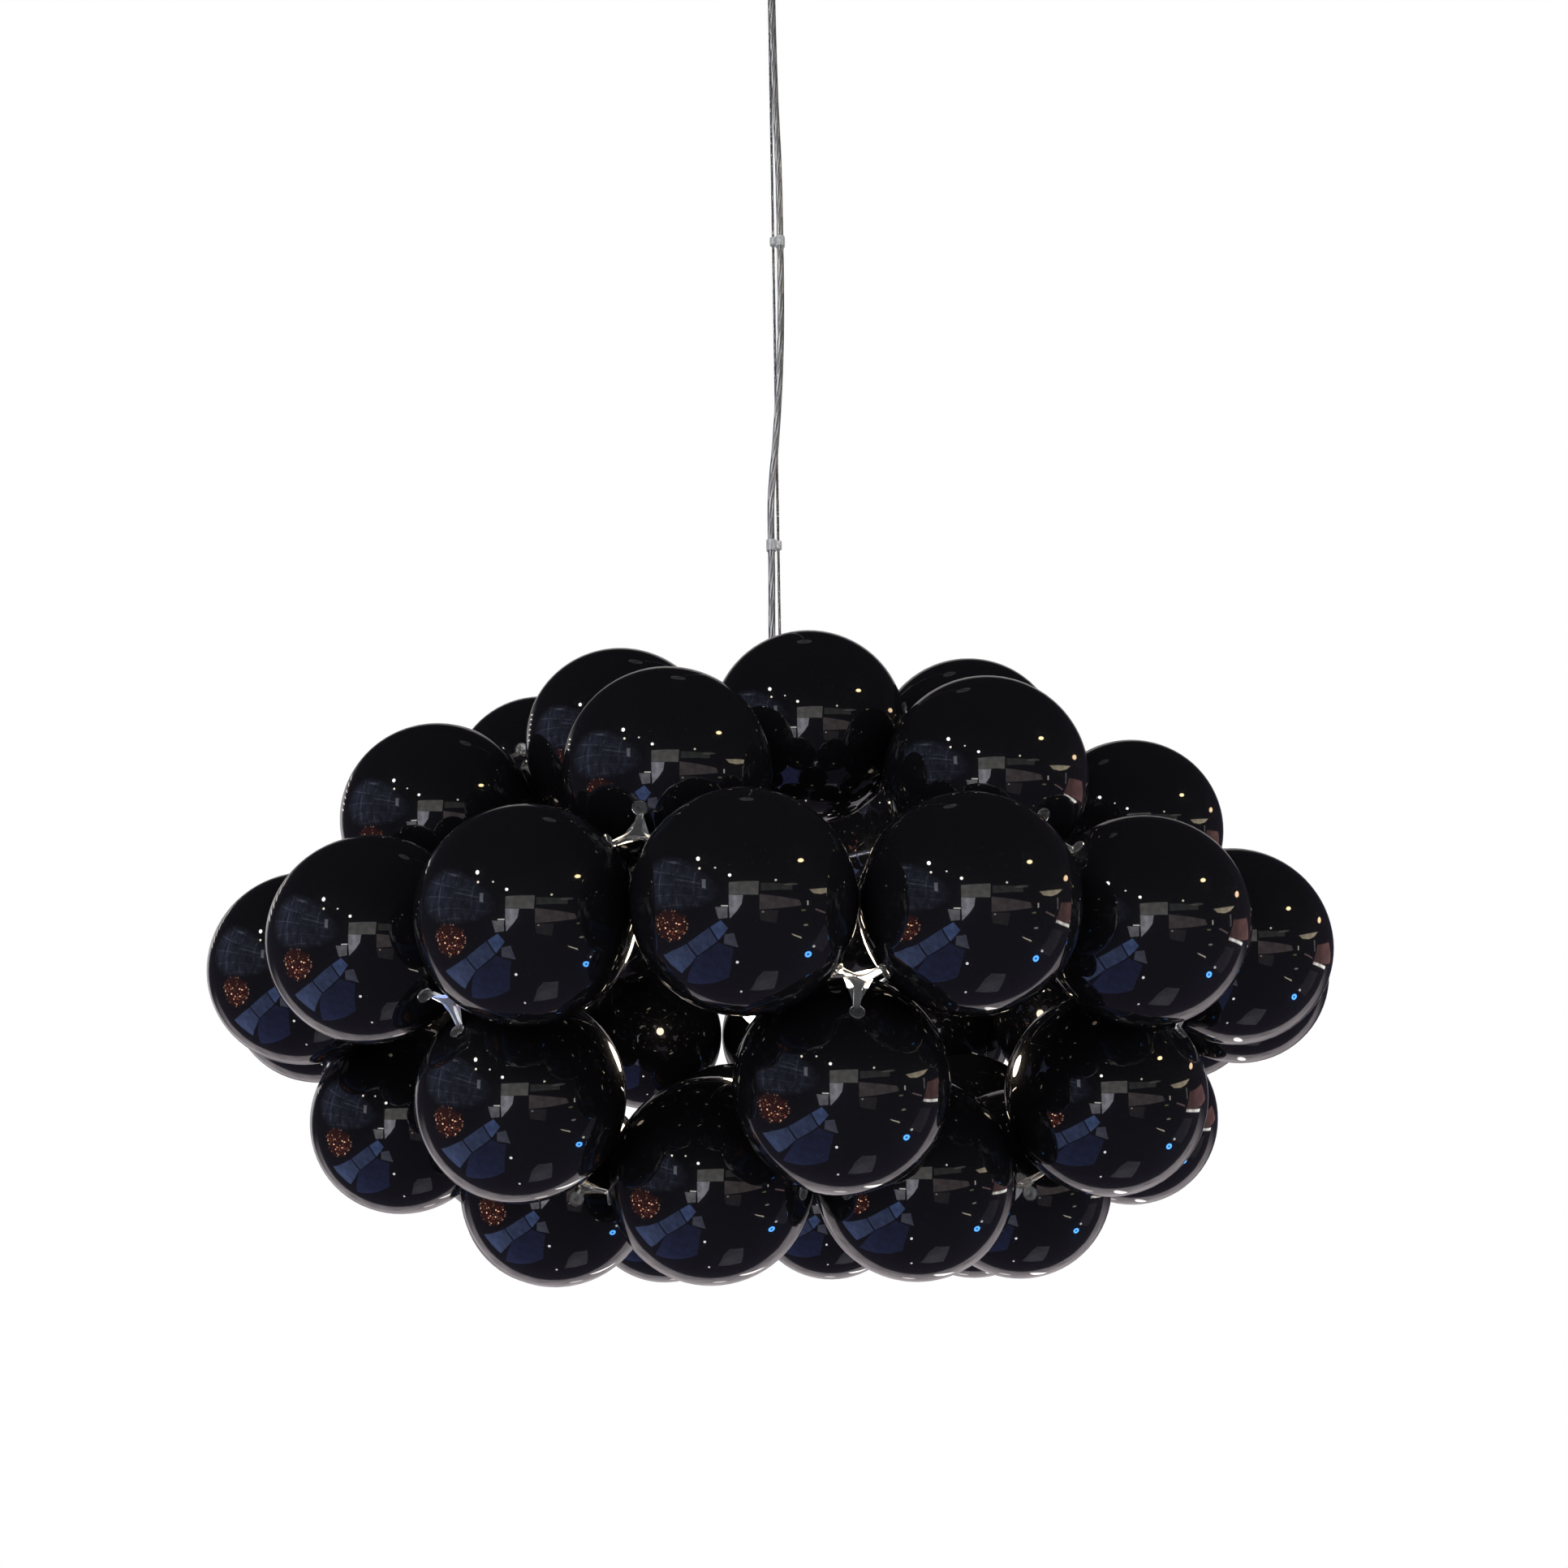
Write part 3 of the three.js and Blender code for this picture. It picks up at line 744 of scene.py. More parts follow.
def web_mesh(feet):
    """The flat web: an arm to each foot with a nearly square end, and hollow curves between the arms."""
    feet = sorted(feet, key=lambda foot: math.atan2(foot.y, foot.x))
    outline = []
    for foot, following in zip(feet, feet[1:] + feet[:1]):
        ahead = foot.normalized()
        aside = Vector((-ahead.y, ahead.x))
        next_ahead = following.normalized()
        next_aside = Vector((-next_ahead.y, next_ahead.x))
        for i in range(ARM_END_STEPS + 1):
            a = math.pi * (i / ARM_END_STEPS - 0.5)
            outline.append(foot + aside * (math.sin(a) * ARM_END) - ahead * ((1 - math.cos(a)) * ARM_CORNER))
        start = foot + aside * ARM_END - ahead * ARM_CORNER
        end = following - next_aside * ARM_END - next_ahead * ARM_CORNER
        near = ahead * ARM_ROOT_AT + aside * ARM_ROOT
        far = next_ahead * ARM_ROOT_AT - next_aside * ARM_ROOT
        outline.extend(bezier(start, near, far, end, ARM_SIDE_STEPS)[1:])
    count = len(outline)
    normals = []
    for i in range(count):
        along = (outline[(i + 1) % count] - outline[i - 1]).normalized()
        normals.append(Vector((along.y, -along.x)))
    levels = []
    for degrees in (-90, -60, -30, 0):
        a = math.radians(degrees)
        levels.append((WEB_EDGE * (1 - math.cos(a)), WEB_EDGE * (1 + math.sin(a))))
    levels += [(inset, WEB_THICKNESS - height) for inset, height in reversed(levels)]
    verts = []
    for inset, height in levels:
        verts += [(*(point - normal * inset), height) for point, normal in zip(outline, normals)]
    rows = [range(i, i + count) for i in range(0, len(verts), count)]
    return mesh_from(verts, [*bands(rows, count), tuple(reversed(rows[0])), tuple(rows[-1])])


def clip_mesh(clip):
    """A whole clip in its own frame: the web, and at each arm's end a dished disc and a peg."""
    to_local = local_frame(clip).inverted()
    feet = []
    pegs = []
    ball_at_web = math.sqrt((BALL_RADIUS + ARM_GAP) ** 2 - WEB_UNDERSIDE**2)
    for arm in clip["arms"]:
        seat = to_local @ (arm["ball"] + arm["out"] * BALL_RADIUS)
        axis = (to_local.to_3x3() @ arm["out"]).normalized()
        ahead = to_local.to_3x3() @ arm["ahead"]
        reach = (arm["ball"] - clip["middle"]).length - ball_at_web
        feet.append(Vector((ahead.x, ahead.y)) * reach)
        peg = lathe([(r * MM, h * MM) for r, h in PEG_PROFILE], 40)
        pegs.append(transformed(peg, Matrix.Translation(seat) @ facing(axis)))
    return combine([web_mesh(feet), *pegs])


clear_clips = bpy.data.collections.new("clear_clips")


def add_clips(name, frames, nodes):
    """Copies of one clip in each of its places."""
    mesh = clip_mesh(frames[0])
    for j, clip in enumerate(frames):
        piece = object_from(f"{name}_{j + 1:02d}", mesh, CLEAR, sharp=38)
        piece.matrix_world = Matrix.Translation(CENTRE) @ local_frame(clip)
        clear_clips.objects.link(piece)
        place(piece, "pendant", f"{nodes}_{j + 1:02d}")


rings = range(RING_BALLS)
add_clips("clip_upper", [upper_clip(j) for j in rings], "ball_upper")
add_clips("clip_lower", [lower_clip(j) for j in rings], "ball_lower")
add_clips("clip_top", [top_clip(j) for j in rings], "ball_upper")
add_clips("clip_bottom", [bottom_clip(j) for j in rings], "ball_lower")

# The balls: smooth shells, with a low collar round each peg hole
CUBE_STEPS = 18
# The collar under a disc: radius, and height above the ball's surface, in millimetres
COLLAR_PROFILE = [(2.3, -0.4), (3.6, -0.4), (3.6, 0.03), (3.45, 0.1), (2.5, 0.12), (2.3, 0.04)]


def ball_mesh(directions):
    """A cube blown up into a ball of nearly square faces, with a collar where each peg goes in."""
    build = bmesh.new()
    bmesh.ops.create_cube(build, size=2)
    bmesh.ops.subdivide_edges(build, edges=build.edges, cuts=CUBE_STEPS - 1, use_grid_fill=True)
    for vert in build.verts:
        even = [math.tan(value * math.pi / 4) for value in vert.co]
        vert.co = Vector(even).normalized() * BALL_RADIUS
    rim = [(r * MM, BALL_RADIUS - (r * MM) ** 2 / (2 * BALL_RADIUS) + h * MM) for r, h in COLLAR_PROFILE]
    for direction in directions:
        collar = transformed(lathe([*rim, rim[0]], 48), facing(direction))
        build.from_mesh(collar)
        bpy.data.meshes.remove(collar)
    return mesh_of(build)


def add_balls(name, centre_of, members, whole, clips):
    """Copies of a ring's first member, each turned so that its pegs lie where its clips have them."""
    first = members[0]
    centre = centre_of(first)
    mesh = ball_mesh([arm["out"] for clip in clips for arm in clip["arms"] if arm["ball"] == centre])
    for k in members:
        piece = object_from(f"{name}_smooth_{k + 1:02d}", mesh, BALL, sharp=50)
        turn = Matrix.Rotation(TURN * (k - first) / whole, 4, "Z")
        piece.matrix_world = Matrix.Translation(CENTRE + centre_of(k)) @ turn
        place(piece, "pendant", f"{name}_{k + 1:02d}")


# Every second ball of the equator has its clips mirrored
for first in (0, 1):
    members = range(first, EQUATOR_BALLS, 2)
    add_balls("ball_equator", equator_centre, members, EQUATOR_BALLS, [upper_clip(first), lower_clip(0)])
for name, centre_of, clips in (
    ("ball_upper", upper_centre, [upper_clip(0), top_clip(0)]),
    ("ball_lower", lower_centre, [lower_clip(0), bottom_clip(0)]),
    ("ball_top", top_centre, [top_clip(0), top_clip(1)]),
    ("ball_bottom", bottom_centre, [bottom_clip(-1), bottom_clip(0)]),
):
    add_balls(name, centre_of, rings, RING_BALLS, clips)

# The hanger: a round hub and four bent rods that end under the top clips
HUB_MIDDLE = 0.085
# The wire's hole and the cable's: radius and place along X
HUB_HOLES = ((0.0014, -CENTRE.x), (CABLE_HOLE_RADIUS, 0.0))
HANGER_CLIPS = (0, 2, 4, 6)
ROD_RADIUS = 0.0016
ROD_ROOT = 0.014
ROD_BEND = 0.020
ROD_STEP = 0.0012


def hanger_arm(clip):
    """A rod from the hub, bent where it passes between the balls, in the cluster's frame."""
    normal = clip["normal"]
    tip = clip["hub"] - normal * ARM_GAP
    bend = clip["middle"] - normal * ROD_BEND
    root = Vector((bend.x, bend.y, 0)).normalized() * ROD_ROOT + Vector((0, 0, HUB_MIDDLE))
    back = (root - bend).normalized()
    points = [root, bend + back * 0.030, bend + back * 0.006]
    points += [bend + normal * 0.006, bend + normal * 0.02, tip]
    return round_tube(smooth_path(points, ROD_STEP), ROD_RADIUS)


def in_cluster(piece):
    """Moves a piece that is made round the cluster's middle to where the cluster hangs."""
    piece.matrix_world = Matrix.Translation(CENTRE)
    return piece


hub = combine(
    [
        lathe(disc_profile(0.019, HUB_MIDDLE - 0.002, HUB_MIDDLE + 0.002, 0.0006), 64),
        *(hanger_arm(top_clip(j)) for j in HANGER_CLIPS),
    ],
    [
        bar(radius, Vector((x, 0, HUB_MIDDLE - 0.01)), Vector((x, 0, HUB_MIDDLE + 0.01)))
        for radius, x in HUB_HOLES
    ],
)
place(in_cluster(object_from("hanger", hub, STEEL)), "pendant", "hanger_spider")

# The lamp holder: a ribbed sleeve with a rolled lip
HOLDER_BOTTOM = HOLDER_TOP - 0.050
HOLDER_FLOOR = HOLDER_BOTTOM + 0.032


def holder_profile():
    outer, inner, groove = 0.0175, 0.0136, 0.0006
    points = [(0, HOLDER_FLOOR), (inner, HOLDER_FLOOR), (inner, HOLDER_BOTTOM + 0.0006)]
    points += arc((0.0142, HOLDER_BOTTOM + 0.0006), 0.0006, 180, 270, 3)
    points += arc((outer - 0.0012, HOLDER_BOTTOM + 0.0012), 0.0012, -90, 0, 4)
    for i in range(9):
        z = HOLDER_BOTTOM + 0.006 + i * 0.0022
        points += [(outer, z), (outer - groove, z + 0.0004)]
        points += [(outer - groove, z + 0.0010), (outer, z + 0.0014)]
    points += [(outer, HOLDER_TOP - 0.016), (outer - 0.0008, HOLDER_TOP - 0.015)]
    points += [(outer - 0.0008, HOLDER_TOP - 0.0008), (outer - 0.0014, HOLDER_TOP)]
    points += [(0.015, HOLDER_TOP), (0.015, HOLDER_FLOOR + 0.0025), (0, HOLDER_FLOOR + 0.0025)]
    return points


holder = in_cluster(object_from("holder", lathe(holder_profile(), 72), BLACK_PLASTIC, sharp=30))
place(holder, "pendant", "lamp_holder")

# The bulb: an opal globe, a white collar and a threaded cap
BULB_MIDDLE = -0.005
GLOBE_RADIUS = 0.030
CAP_TOP = HOLDER_FLOOR - 0.001
CAP_BOTTOM = CAP_TOP - 0.027

globe_arc = arc((0, BULB_MIDDLE), GLOBE_RADIUS, -90, 52, 28)
globe = [
    (0, BULB_MIDDLE - GLOBE_RADIUS),
    *globe_arc[1:],
    (0.0172, BULB_MIDDLE + 0.0255),
    (0.0168, BULB_MIDDLE + 0.0262),
    (0, BULB_MIDDLE + 0.0262),
]
collar = [
    (0, BULB_MIDDLE + 0.0264),
    (0.0166, BULB_MIDDLE + 0.0264),
    (0.0170, BULB_MIDDLE + 0.0272),
    (0.0168, BULB_MIDDLE + 0.030),
    (0.0152, BULB_MIDDLE + 0.036),
    (0.0134, CAP_BOTTOM - 0.001),
    (0.0128, CAP_BOTTOM),
    (0, CAP_BOTTOM),
]
thread = [(0, CAP_BOTTOM + 0.0001), (0.0122, CAP_BOTTOM + 0.0001)]
for i in range(6):
    z = CAP_BOTTOM + 0.002 + i * 0.0035
    thread += [(0.0122, z), (0.0130, z + 0.0009), (0.0130, z + 0.0016), (0.0122, z + 0.0026)]
thread += [(0.0122, CAP_TOP - 0.003), (0.0045, CAP_TOP - 0.0008), (0.004, CAP_TOP), (0, CAP_TOP)]
for name, profile, material in (
    ("bulb_globe", globe, DIFFUSER),
    ("bulb_collar", collar, WHITE_PLASTIC),
    ("bulb_cap", thread, NICKEL),
):
    place(in_cluster(object_from(name, lathe(profile, 64), material, sharp=45)), "bulb", "bulb")

# At the ceiling: plate with ears, canopy, screw, terminal block and link
PLATE_RADIUS = 0.046
# In millimetres, as mm() takes it
SCREW_Z = -12
SCREW_HOLE_RADIUS = 0.0019


def ceiling_plate():
    shapes = [
        lathe(disc_profile(PLATE_RADIUS, -0.004, 0, 0.0005), 96),
        bar(0.0055, Vector((0, -0.0025, UPPER_PIN)), Vector((0, 0.0025, UPPER_PIN)), 48, 0.0005),
        box_mesh(mm(-5.4, -2.45, -12), mm(5.4, 2.45, -2), 0.0),
    ]
    for side in (-1, 1):
        xs = sorted((side * 42, side * 55.9))
        fold = sorted((side * 54, side * 56))
        shapes.append(box_mesh(mm(xs[0], -7.9, -2), mm(xs[1], 7.9, -0.05), 0.0003))
        shapes.append(box_mesh(mm(fold[0], -8, -18), mm(fold[1], 8, -0.4), 0.0004))
    cuts = [
        bar(PIN_HOLE_RADIUS, Vector((0, -0.006, UPPER_PIN)), Vector((0, 0.006, UPPER_PIN))),
        bar(SCREW_HOLE_RADIUS, mm(50, 0, SCREW_Z), mm(60, 0, SCREW_Z), 24),
        *(bar(0.0025, mm(0, side * 32, -8), mm(0, side * 32, 4)) for side in (-1, 1)),
    ]
    return object_from("plate", combine(shapes, cuts), ZINC)


def canopy():
    outer, wall, depth, edge, mouth = 0.060, 0.0015, 0.040, 0.004, 0.0175
    lip = wall / 2
    profile = [
        *arc((mouth + lip, -depth + lip), lip, 90, 270, 6),
        *arc((outer - edge, -depth + edge), edge, -90, 0, 8),
        *arc((outer - 0.0004, -0.0009), 0.0004, 0, 90, 2),
        *arc((outer - wall + 0.0004, -0.0009), 0.0004, 90, 180, 2),
        *arc((outer - edge, -depth + edge), edge - wall, 0, -90, 6),
    ]
    cup = lathe([*profile, profile[0]], 128)
    hole = bar(SCREW_HOLE_RADIUS, mm(52, 0, SCREW_Z), mm(68, 0, SCREW_Z), 24)
    return object_from("canopy", combine([cup], [hole]), BRUSHED)


def canopy_screw():
    head = [
        (0, 0.0603),
        *arc((0.0036, 0.0607), 0.0004, -90, 0, 2),
        *arc((0.0022, 0.0607), 0.0018, 0, 90, 5),
        (0, 0.0625),
    ]
    turn = Matrix.Translation(mm(0, 0, SCREW_Z)) @ Matrix.Rotation(math.pi / 2, 4, "Y")
    shank = transformed(lathe(disc_profile(0.0015, 0.052, 0.0608, 0.0003), 24), turn)
    slot = box_mesh(mm(61.67, -6, -12.53), mm(64, 6, -11.46), 0.0)
    return object_from("knurled_screw", combine([transformed(lathe(head, 40), turn), shank], [slot]), STEEL)


def terminal():
    body = box_mesh(mm(-11, -38, -20), mm(11, -22, -4.3), 0.0008)
    cuts = []
    for x in (-TERMINAL_X, TERMINAL_X):
        cuts.append(bar(0.002, mm(x, -40, TERMINAL_Z), mm(x, -20, TERMINAL_Z)))
        cuts.append(bar(0.0018, mm(x, -30, -22), mm(x, -30, -13), 24))
    cuts.append(box_mesh(mm(-0.6, -39, -21), mm(0.6, -21, -17.5), 0.0))
    return object_from("terminals", combine([body], cuts), WHITE_PLASTIC)


def link():
    shapes = [
        box_mesh(mm(-5.5, -5.5, -26), mm(5.5, 5.5, -19), 0.0006),
        bar(PIN_RADIUS, Vector((0, -0.0055, UPPER_PIN)), Vector((0, 0.0055, UPPER_PIN))),
        bar(PIN_RADIUS, Vector((-0.0055, 0, LOWER_PIN)), Vector((0.0055, 0, LOWER_PIN))),
    ]
    for side in (-1, 1):
        ys = sorted((side * 3.1, side * 5.5))
        shapes.append(box_mesh(mm(-4.5, ys[0], -20), mm(4.5, ys[1], -7.5), 0.0005))
        shapes.append(box_mesh(mm(ys[0], -4.5, -37.5), mm(ys[1], 4.5, -25), 0.0005))
    return object_from("fork_link", combine(shapes), ZINC)


place(ceiling_plate(), "ceiling", "ceiling_plate")
place(canopy(), "ceiling", "canopy_cover")
place(canopy_screw(), "ceiling", "canopy_screw")
place(terminal(), "ceiling", "terminal_block")
place(link(), "link", "swing_link")

# The stage: a pale floor, a plain white world and soft light. The balls mirror a dim room.
FLOOR_HEIGHT = -2.3
FLOOR_UNDERSIDE = -2.32
FLOOR_RADIUS = 6.0


def add_floor():
    edge = [(FLOOR_RADIUS, FLOOR_UNDERSIDE), (FLOOR_RADIUS, FLOOR_HEIGHT)]
    mesh = lathe([(0, FLOOR_UNDERSIDE), *edge, (0, FLOOR_HEIGHT)], 128)
    material, tree = new_material("floor")
    shade = colours(tree, noise(tree, 3, 4.0), (0.80, 0.80, 0.79), (0.83, 0.83, 0.82))
    floor = object_from("floor", mesh, dress(material, {"Base Color": shade, "Roughness": 0.6}))
    floor.visible_glossy = False


add_floor()


def mirrored(across, up):
    """The direction that a ball mirrors at a place on its face, given in shares of its radius."""
    inward = math.sqrt(max(0.0, 1 - across * across - up * up))
    sideways = right * (2 * across * inward) + upward * (2 * up * inward)
    return (sideways - forward * (2 * inward * inward - 1)).normalized()


# The room that the balls mirror, as it shows on a ball's face. Places and half sizes are shares of the ball's
# radius, to the right and up, and light is in the units of the world's background.
ROOM_LAMPS = [
    (-0.39, 0.38, 0.016, 0.017, (34, 33, 31)),
    (-0.375, 0.30, 0.010, 0.010, (22, 20, 16)),
    (-0.24, 0.31, 0.009, 0.007, (16, 16, 15)),
    (-0.114, 0.25, 0.014, 0.013, (30, 29, 27)),
    (0.28, 0.207, 0.010, 0.009, (12, 11, 9)),
    (0.496, 0.366, 0.025, 0.016, (28, 22, 12)),
    (0.823, 0.184, 0.022, 0.022, (9, 6.3, 3.8)),
    (0.59, -0.385, 0.011, 0.011, (7, 6.8, 6.4)),
    (-0.05, -0.49, 0.012, 0.012, (16, 16, 17)),
    (-0.025, -0.75, 0.009, 0.009, (8, 8, 8)),
    (0.53, -0.188, 0.020, 0.009, (2.4, 2.3, 1.9)),
    (0.17, -0.06, 0.010, 0.008, (3.0, 2.8, 2.6)),
    (0.41, 0.168, 0.060, 0.010, (0.7, 0.66, 0.6)),
    (-0.60, 0.335, 0.040, 0.010, (0.5, 0.5, 0.6)),
    (0.26, -0.885, 0.075, 0.012, (4.4, 4.3, 4.1)),
    (0.02, -0.93, 0.050, 0.008, (1.6, 1.5, 1.4)),
    *((-0.94 + 0.006 * b, 0.05 + 0.05 * b, 0.012, 0.007, (2.6, 2.4, 2.1)) for b in range(6)),
]
BLUE_RING = (0.543, -0.446, 0.026, 0.026, (2.2, 9, 26))
SPARKS = (-0.61, -0.20, 0.125, 0.125)
SHELVES = (-0.58, 0.15, 0.27, 0.20)
PILLAR_LIGHT = (1.32, 1.29, 1.22)
TILE_LIGHT = (0.40, 0.58, 1.25)
# Corners of the larger things
ROOM_SHAPES = [
    ([(-0.12, 0.19), (0.135, 0.20), (0.13, 0.085), (-0.12, 0.085)], PILLAR_LIGHT),
    ([(0.15, 0.185), (0.42, 0.165), (0.42, 0.12), (0.15, 0.12)], (0.34, 0.37, 0.31)),
    ([(0.565, 0.115), (0.775, 0.106), (0.735, 0.078), (0.67, 0.066), (0.60, 0.08)], (3.6, 3.1, 2.2)),
    ([(-0.12, 0.083), (0.0, 0.083), (-0.01, 0.01), (-0.05, -0.05), (-0.11, -0.115)], (3.4, 3.4, 3.8)),
    ([(-0.235, -0.02), (-0.13, -0.02), (-0.13, -0.11), (-0.205, -0.12)], (1.9, 1.85, 2.0)),
    ([(-0.185, -0.004), (-0.125, -0.004), (-0.125, -0.014), (-0.185, -0.014)], (11, 10.5, 10)),
    ([(-0.35, 0.21), (-0.318, 0.21), (-0.318, 0.135), (-0.35, 0.14)], (1.8, 1.8, 2.0)),
    ([(-0.57, 0.20), (-0.36, 0.175), (-0.36, 0.168), (-0.57, 0.19)], (0.5, 0.55, 0.7)),
    ([(-0.185, -0.13), (-0.125, -0.20), (-0.205, -0.30), (-0.275, -0.19)], (0.62, 1.0, 2.3)),
    ([(-0.285, -0.197), (-0.215, -0.31), (-0.385, -0.44), (-0.465, -0.335)], TILE_LIGHT),
    ([(-0.475, -0.343), (-0.395, -0.45), (-0.515, -0.605), (-0.67, -0.46)], TILE_LIGHT),
    ([(-0.205, -0.32), (-0.08, -0.37), (-0.12, -0.62), (-0.47, -0.68), (-0.40, -0.46)], (0.10, 0.15, 0.46)),
    ([(-0.155, -0.25), (-0.075, -0.24), (-0.04, -0.36), (-0.16, -0.33)], (0.75, 0.8, 1.1)),
    ([(0.14, 0.09), (0.30, 0.07), (0.48, 0.03), (0.50, -0.015), (0.14, -0.04)], (0.70, 0.56, 0.54)),
    ([(0.14, -0.045), (0.30, -0.05), (0.28, -0.16), (0.15, -0.13)], (0.22, 0.2, 0.2)),
    ([(0.545, 0.02), (0.557, 0.02), (0.557, -0.018), (0.545, -0.018)], (6, 5.6, 5)),
    ([(0.76, 0.0), (0.90, -0.03), (0.91, -0.20), (0.70, -0.15)], (0.58, 0.28, 0.26)),
    ([(0.705, -0.16), (0.715, -0.14), (0.85, -0.205), (0.84, -0.225)], (7.0, 6.8, 6.4)),
    ([(0.61, -0.062), (0.62, -0.052), (0.70, -0.10), (0.695, -0.11)], (1.3, 0.9, 0.9)),
    ([(0.722, 0.045), (0.736, 0.045), (0.732, -0.05), (0.72, -0.05)], (0.9, 0.9, 0.9)),
    ([(0.41, -0.256), (0.417, -0.266), (0.492, -0.303), (0.488, -0.288)], (7, 6.4, 5)),
    ([(0.495, -0.053), (0.53, -0.053), (0.53, -0.065), (0.495, -0.065)], (1.6, 1.8, 0.9)),
    ([(0.11, -0.63), (0.17, -0.57), (0.29, -0.575), (0.245, -0.73), (0.05, -0.74)], (0.38, 0.37, 0.41)),
    ([(0.68, -0.21), (0.77, -0.24), (0.66, -0.44), (0.56, -0.38)], (0.12, 0.11, 0.12)),
]
SHAPE_SOFTNESS = 0.014


def room_light(tree):
    """What the balls mirror, by direction."""
    where = add_node(tree, "TexCoord").outputs["Generated"]
    ray = add_node(tree, "VectorMath", {0: where}, operation="NORMALIZE").outputs["Vector"]
    total = None

    def along(axis):
        node = add_node(tree, "VectorMath", {0: ray, 1: axis}, operation="DOT_PRODUCT")
        return node.outputs["Value"]

    def times(first, second):
        return calculate(tree, "MULTIPLY", first, second)

    def ramp(value, start, end):
        return spread(tree, value, 0.0, 1.0, start, end, "SMOOTHSTEP")

    def add_light(amount, colour):
        nonlocal total
        light = add_node(tree, "VectorMath", {0: colour, "Scale": amount}, operation="SCALE")
        if total is not None:
            light = add_node(tree, "VectorMath", {0: total, 1: light.outputs[0]}, operation="ADD")
        total = light.outputs[0]

    def face_coordinates(across, up, wide, high):
        """Where a ray lies round a place on the ball's face, in half sizes, and whether it faces that way."""
        step = 0.01
        u = (mirrored(across + step, up) - mirrored(across - step, up)) * wide / (2 * step)
        v = (mirrored(across, up + step) - mirrored(across, up - step)) * high / (2 * step)
        normal = u.cross(v)
        area = normal.length_squared
        facing_it = ramp(along(mirrored(across, up)), 0.5, 0.7)
        return along(v.cross(normal) / area), along(normal.cross(u) / area), facing_it

    def ellipse(x, y, facing_it):
        """One within the ellipse, and the square of the share of its radius."""
        square = calculate(tree, "ADD", times(x, x), times(y, y))
        return times(ramp(square, 1.35, 0.65), facing_it), square

    def pattern(kind, x, y, inputs, **settings):
        """A texture that lies over a place on the ball's face."""
        flat = add_node(tree, "CombineXYZ", {"X": x, "Y": y}).outputs["Vector"]
        return add_node(tree, kind, {"Vector": flat, **inputs}, **settings).outputs

    for across, up, wide, high, colour in ROOM_LAMPS:
        add_light(ellipse(*face_coordinates(across, up, wide, high))[0], colour)
    disc, square = ellipse(*face_coordinates(*BLUE_RING[:4]))
    hollow = calculate(tree, "ADD", ramp(square, 0.05, 0.35), 0.2)
    add_light(times(disc, hollow), BLUE_RING[4])

    x, y, facing_it = face_coordinates(*SPARKS)
    disc = ellipse(x, y, facing_it)[0]
    cells = pattern("TexVoronoi", x, y, {"Scale": 5.5})
    chance = add_node(tree, "SeparateColor", {"Color": cells["Color"]}).outputs
    dots = times(ramp(cells["Distance"], 0.42, 0.12), disc)
    add_light(disc, (0.30, 0.05, 0.02))
    add_light(times(dots, ramp(chance["Red"], 0.25, 1.0)), (24, 15, 9.5))
    add_light(times(dots, ramp(chance["Green"], 0.1, 0.9)), (4.5, 0.8, 0.3))

    cloud = {"Vector": ray, "Scale": 9.0, "Detail": 5.0, "Roughness": 0.62}
    mottle = add_node(tree, "TexNoise", cloud).outputs["Fac"]
    uneven = spread(tree, mottle, 0.62, 1.3, 0.3, 0.7)

    x, y, facing_it = face_coordinates(*SHELVES)
    disc = ellipse(x, y, facing_it)[0]
    sizes = {"Mortar Size": 0.022, "Mortar Smooth": 0.6, "Brick Width": 0.55, "Row Height": 0.42}
    boards = pattern("TexBrick", x, y, {"Scale": 1.0, **sizes}, offset=0.0)
    patchy = times(disc, ramp(mottle, 0.34, 0.66))
    add_light(disc, (0.07, 0.08, 0.13))
    add_light(patchy, (0.12, 0.15, 0.26))
    add_light(times(boards["Fac"], patchy), (0.44, 0.48, 0.66))

    for corners, colour in ROOM_SHAPES:
        rays = [mirrored(across, up) for across, up in corners]
        middle = sum(rays, Vector()).normalized()
        inside = uneven
        for first, second in zip(rays, rays[1:] + rays[:1]):
            edge = first.cross(second).normalized()
            if edge.dot(middle) < 0:
                edge.negate()
            inside = times(inside, ramp(along(edge), -SHAPE_SOFTNESS / 2, SHAPE_SOFTNESS / 2))
        add_light(inside, colour)

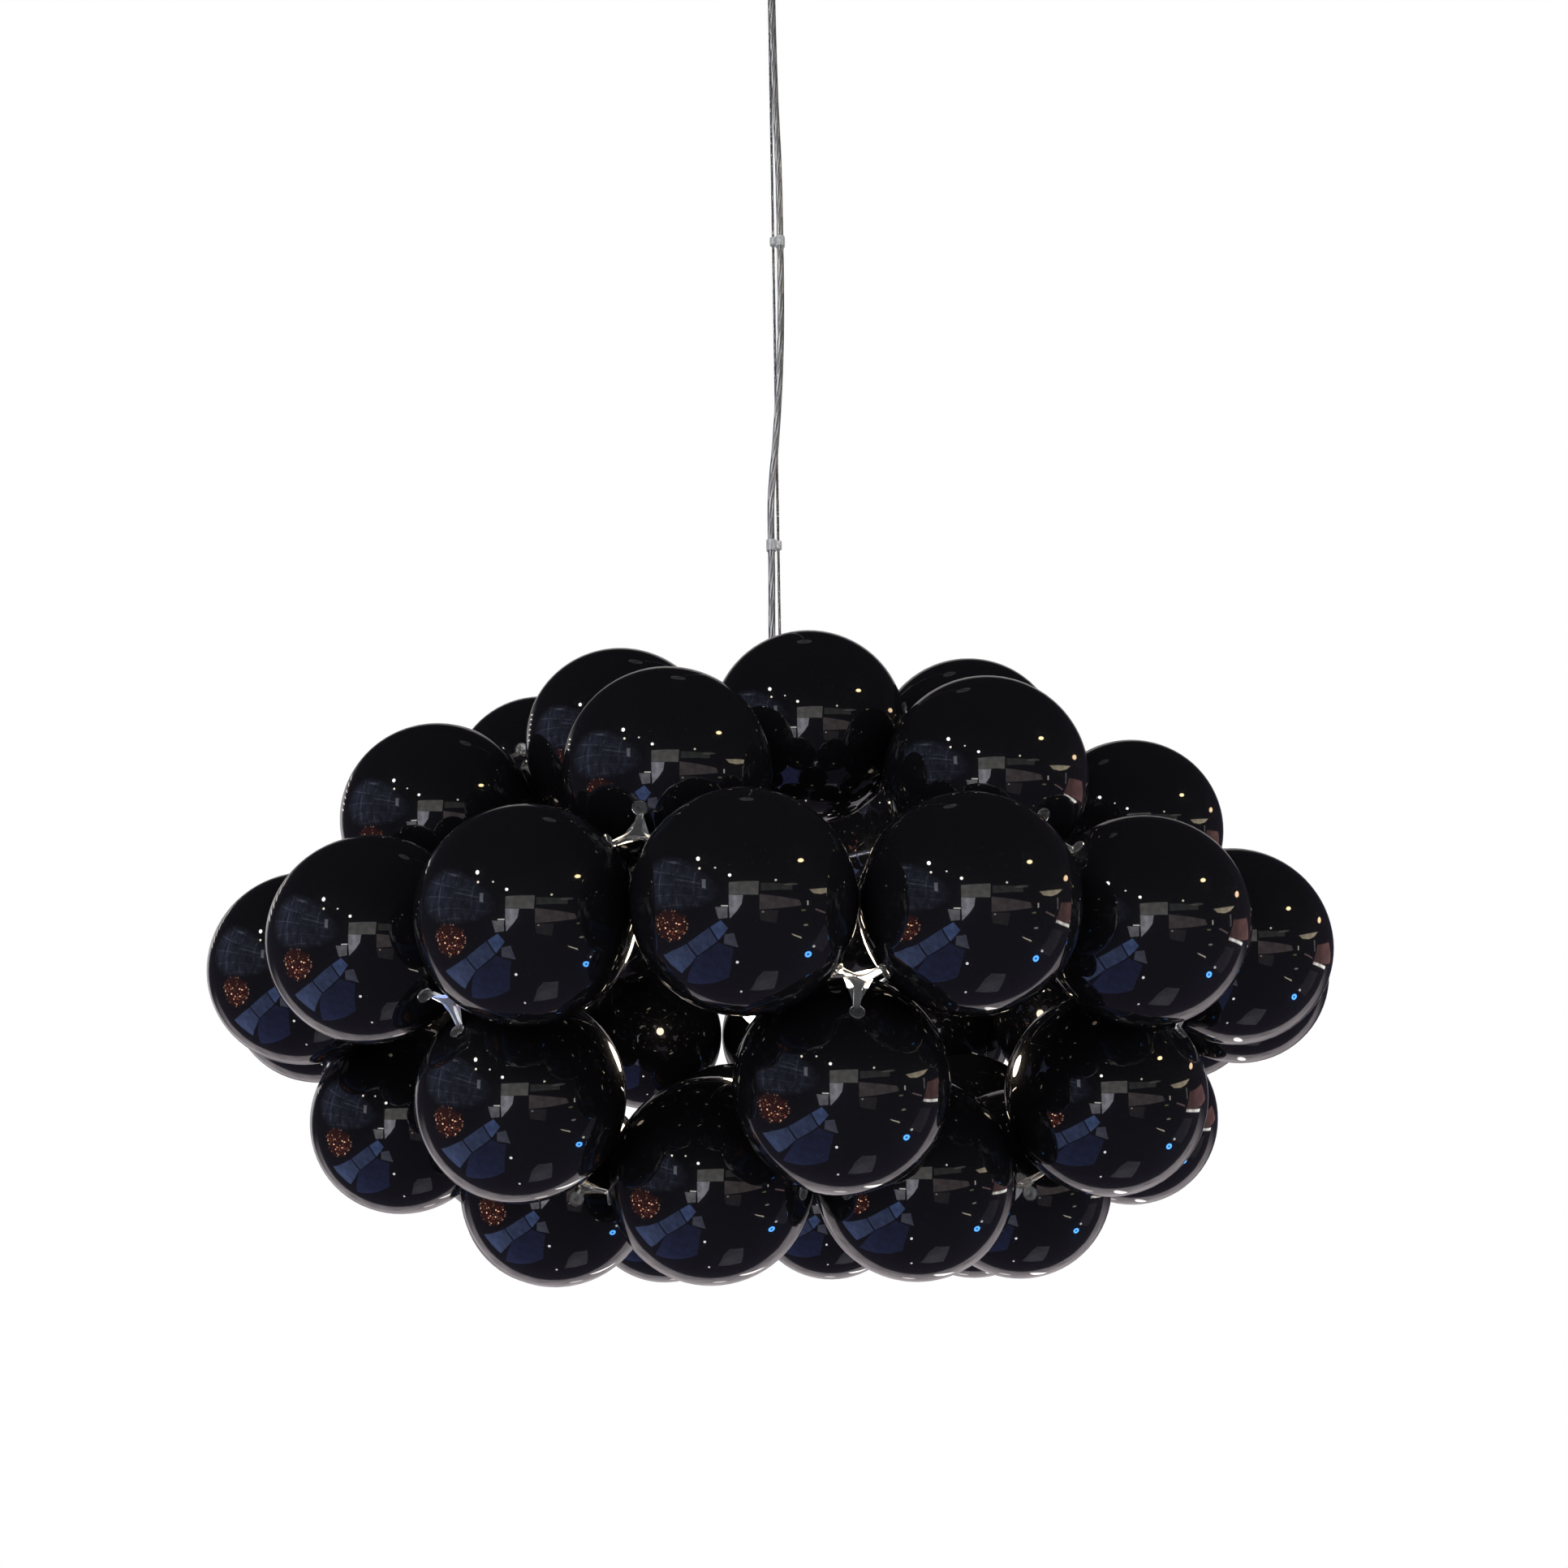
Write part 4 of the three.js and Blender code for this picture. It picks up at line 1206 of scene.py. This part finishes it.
    # On the rims, what lies behind the lamp: a floor, a wall and a backdrop. Then a dim light all round.
    up = Vector((0, 0, 1))
    behind = times(ramp(along(forward), 0.50, 0.57), uneven)
    add_light(times(behind, ramp(along(up), -0.02, -0.32)), (0.74, 0.67, 0.68))
    beside = times(ramp(along(forward), 0.72, 0.84), ramp(along(right), -0.30, -0.50))
    add_light(times(beside, ramp(along(up), 0.45, 0.2)), (0.80, 0.78, 0.80))
    add_light(ramp(along(forward), 0.89, 0.95), (0.36, 0.34, 0.33))
    add_light(ramp(along(up), 1.0, -1.0), (0.075, 0.065, 0.10))
    return total


def add_world():
    world = bpy.data.worlds.new("studio")
    bpy.context.scene.world = world
    world.use_nodes = True
    tree = world.node_tree
    tree.nodes.clear()

    def background(colour, strength):
        node = add_node(tree, "Background", {"Color": colour, "Strength": strength})
        return node.outputs["Background"]

    def mix(share, first, second):
        return add_node(tree, "MixShader", {"Fac": share, 1: first, 2: second}).outputs["Shader"]

    rays = add_node(tree, "LightPath").outputs
    plain = background((1, 1, 1, 1), 1.0)
    soft = background((0.98, 0.985, 1, 1), 0.85)
    mirror = mix(rays["Is Glossy Ray"], soft, background(room_light(tree), 1.0))
    add_node(tree, "OutputWorld", {"Surface": mix(rays["Is Camera Ray"], mirror, plain)})


add_world()

GLOW_WATTS = 26
GLOW_RADIUS = 0.085


def add_soft_light(name, place_at, size, watts):
    data = bpy.data.lights.new(name, "AREA")
    data.shape = "DISK"
    data.size = size
    data.energy = watts
    light = add_object(name, data)
    light.matrix_world = Matrix.Translation(place_at) @ facing(CENTRE - place_at, "-Z")
    light.visible_glossy = False
    light.visible_camera = False


def add_bulb_light():
    """The glow from inside the cluster that the clear clips pass on."""
    data = bpy.data.lights.new("bulb_glow", "POINT")
    data.color = (1.0, 0.80, 0.58)
    data.energy = GLOW_WATTS
    data.shadow_soft_size = GLOW_RADIUS
    light = add_object("bulb_glow", data)
    light.location = CENTRE + Vector((0, 0, BULB_MIDDLE))
    light.light_linking.receiver_collection = clear_clips
    light.visible_camera = False


add_bulb_light()
add_soft_light("key_light", Vector((-1.6, -2.2, 0.6)), 1.6, 30)
add_soft_light("fill_light", Vector((2.2, -1.6, -0.4)), 2.0, 14)

view = bpy.context.scene.view_settings
view.view_transform = "Standard"
view.look = "None"
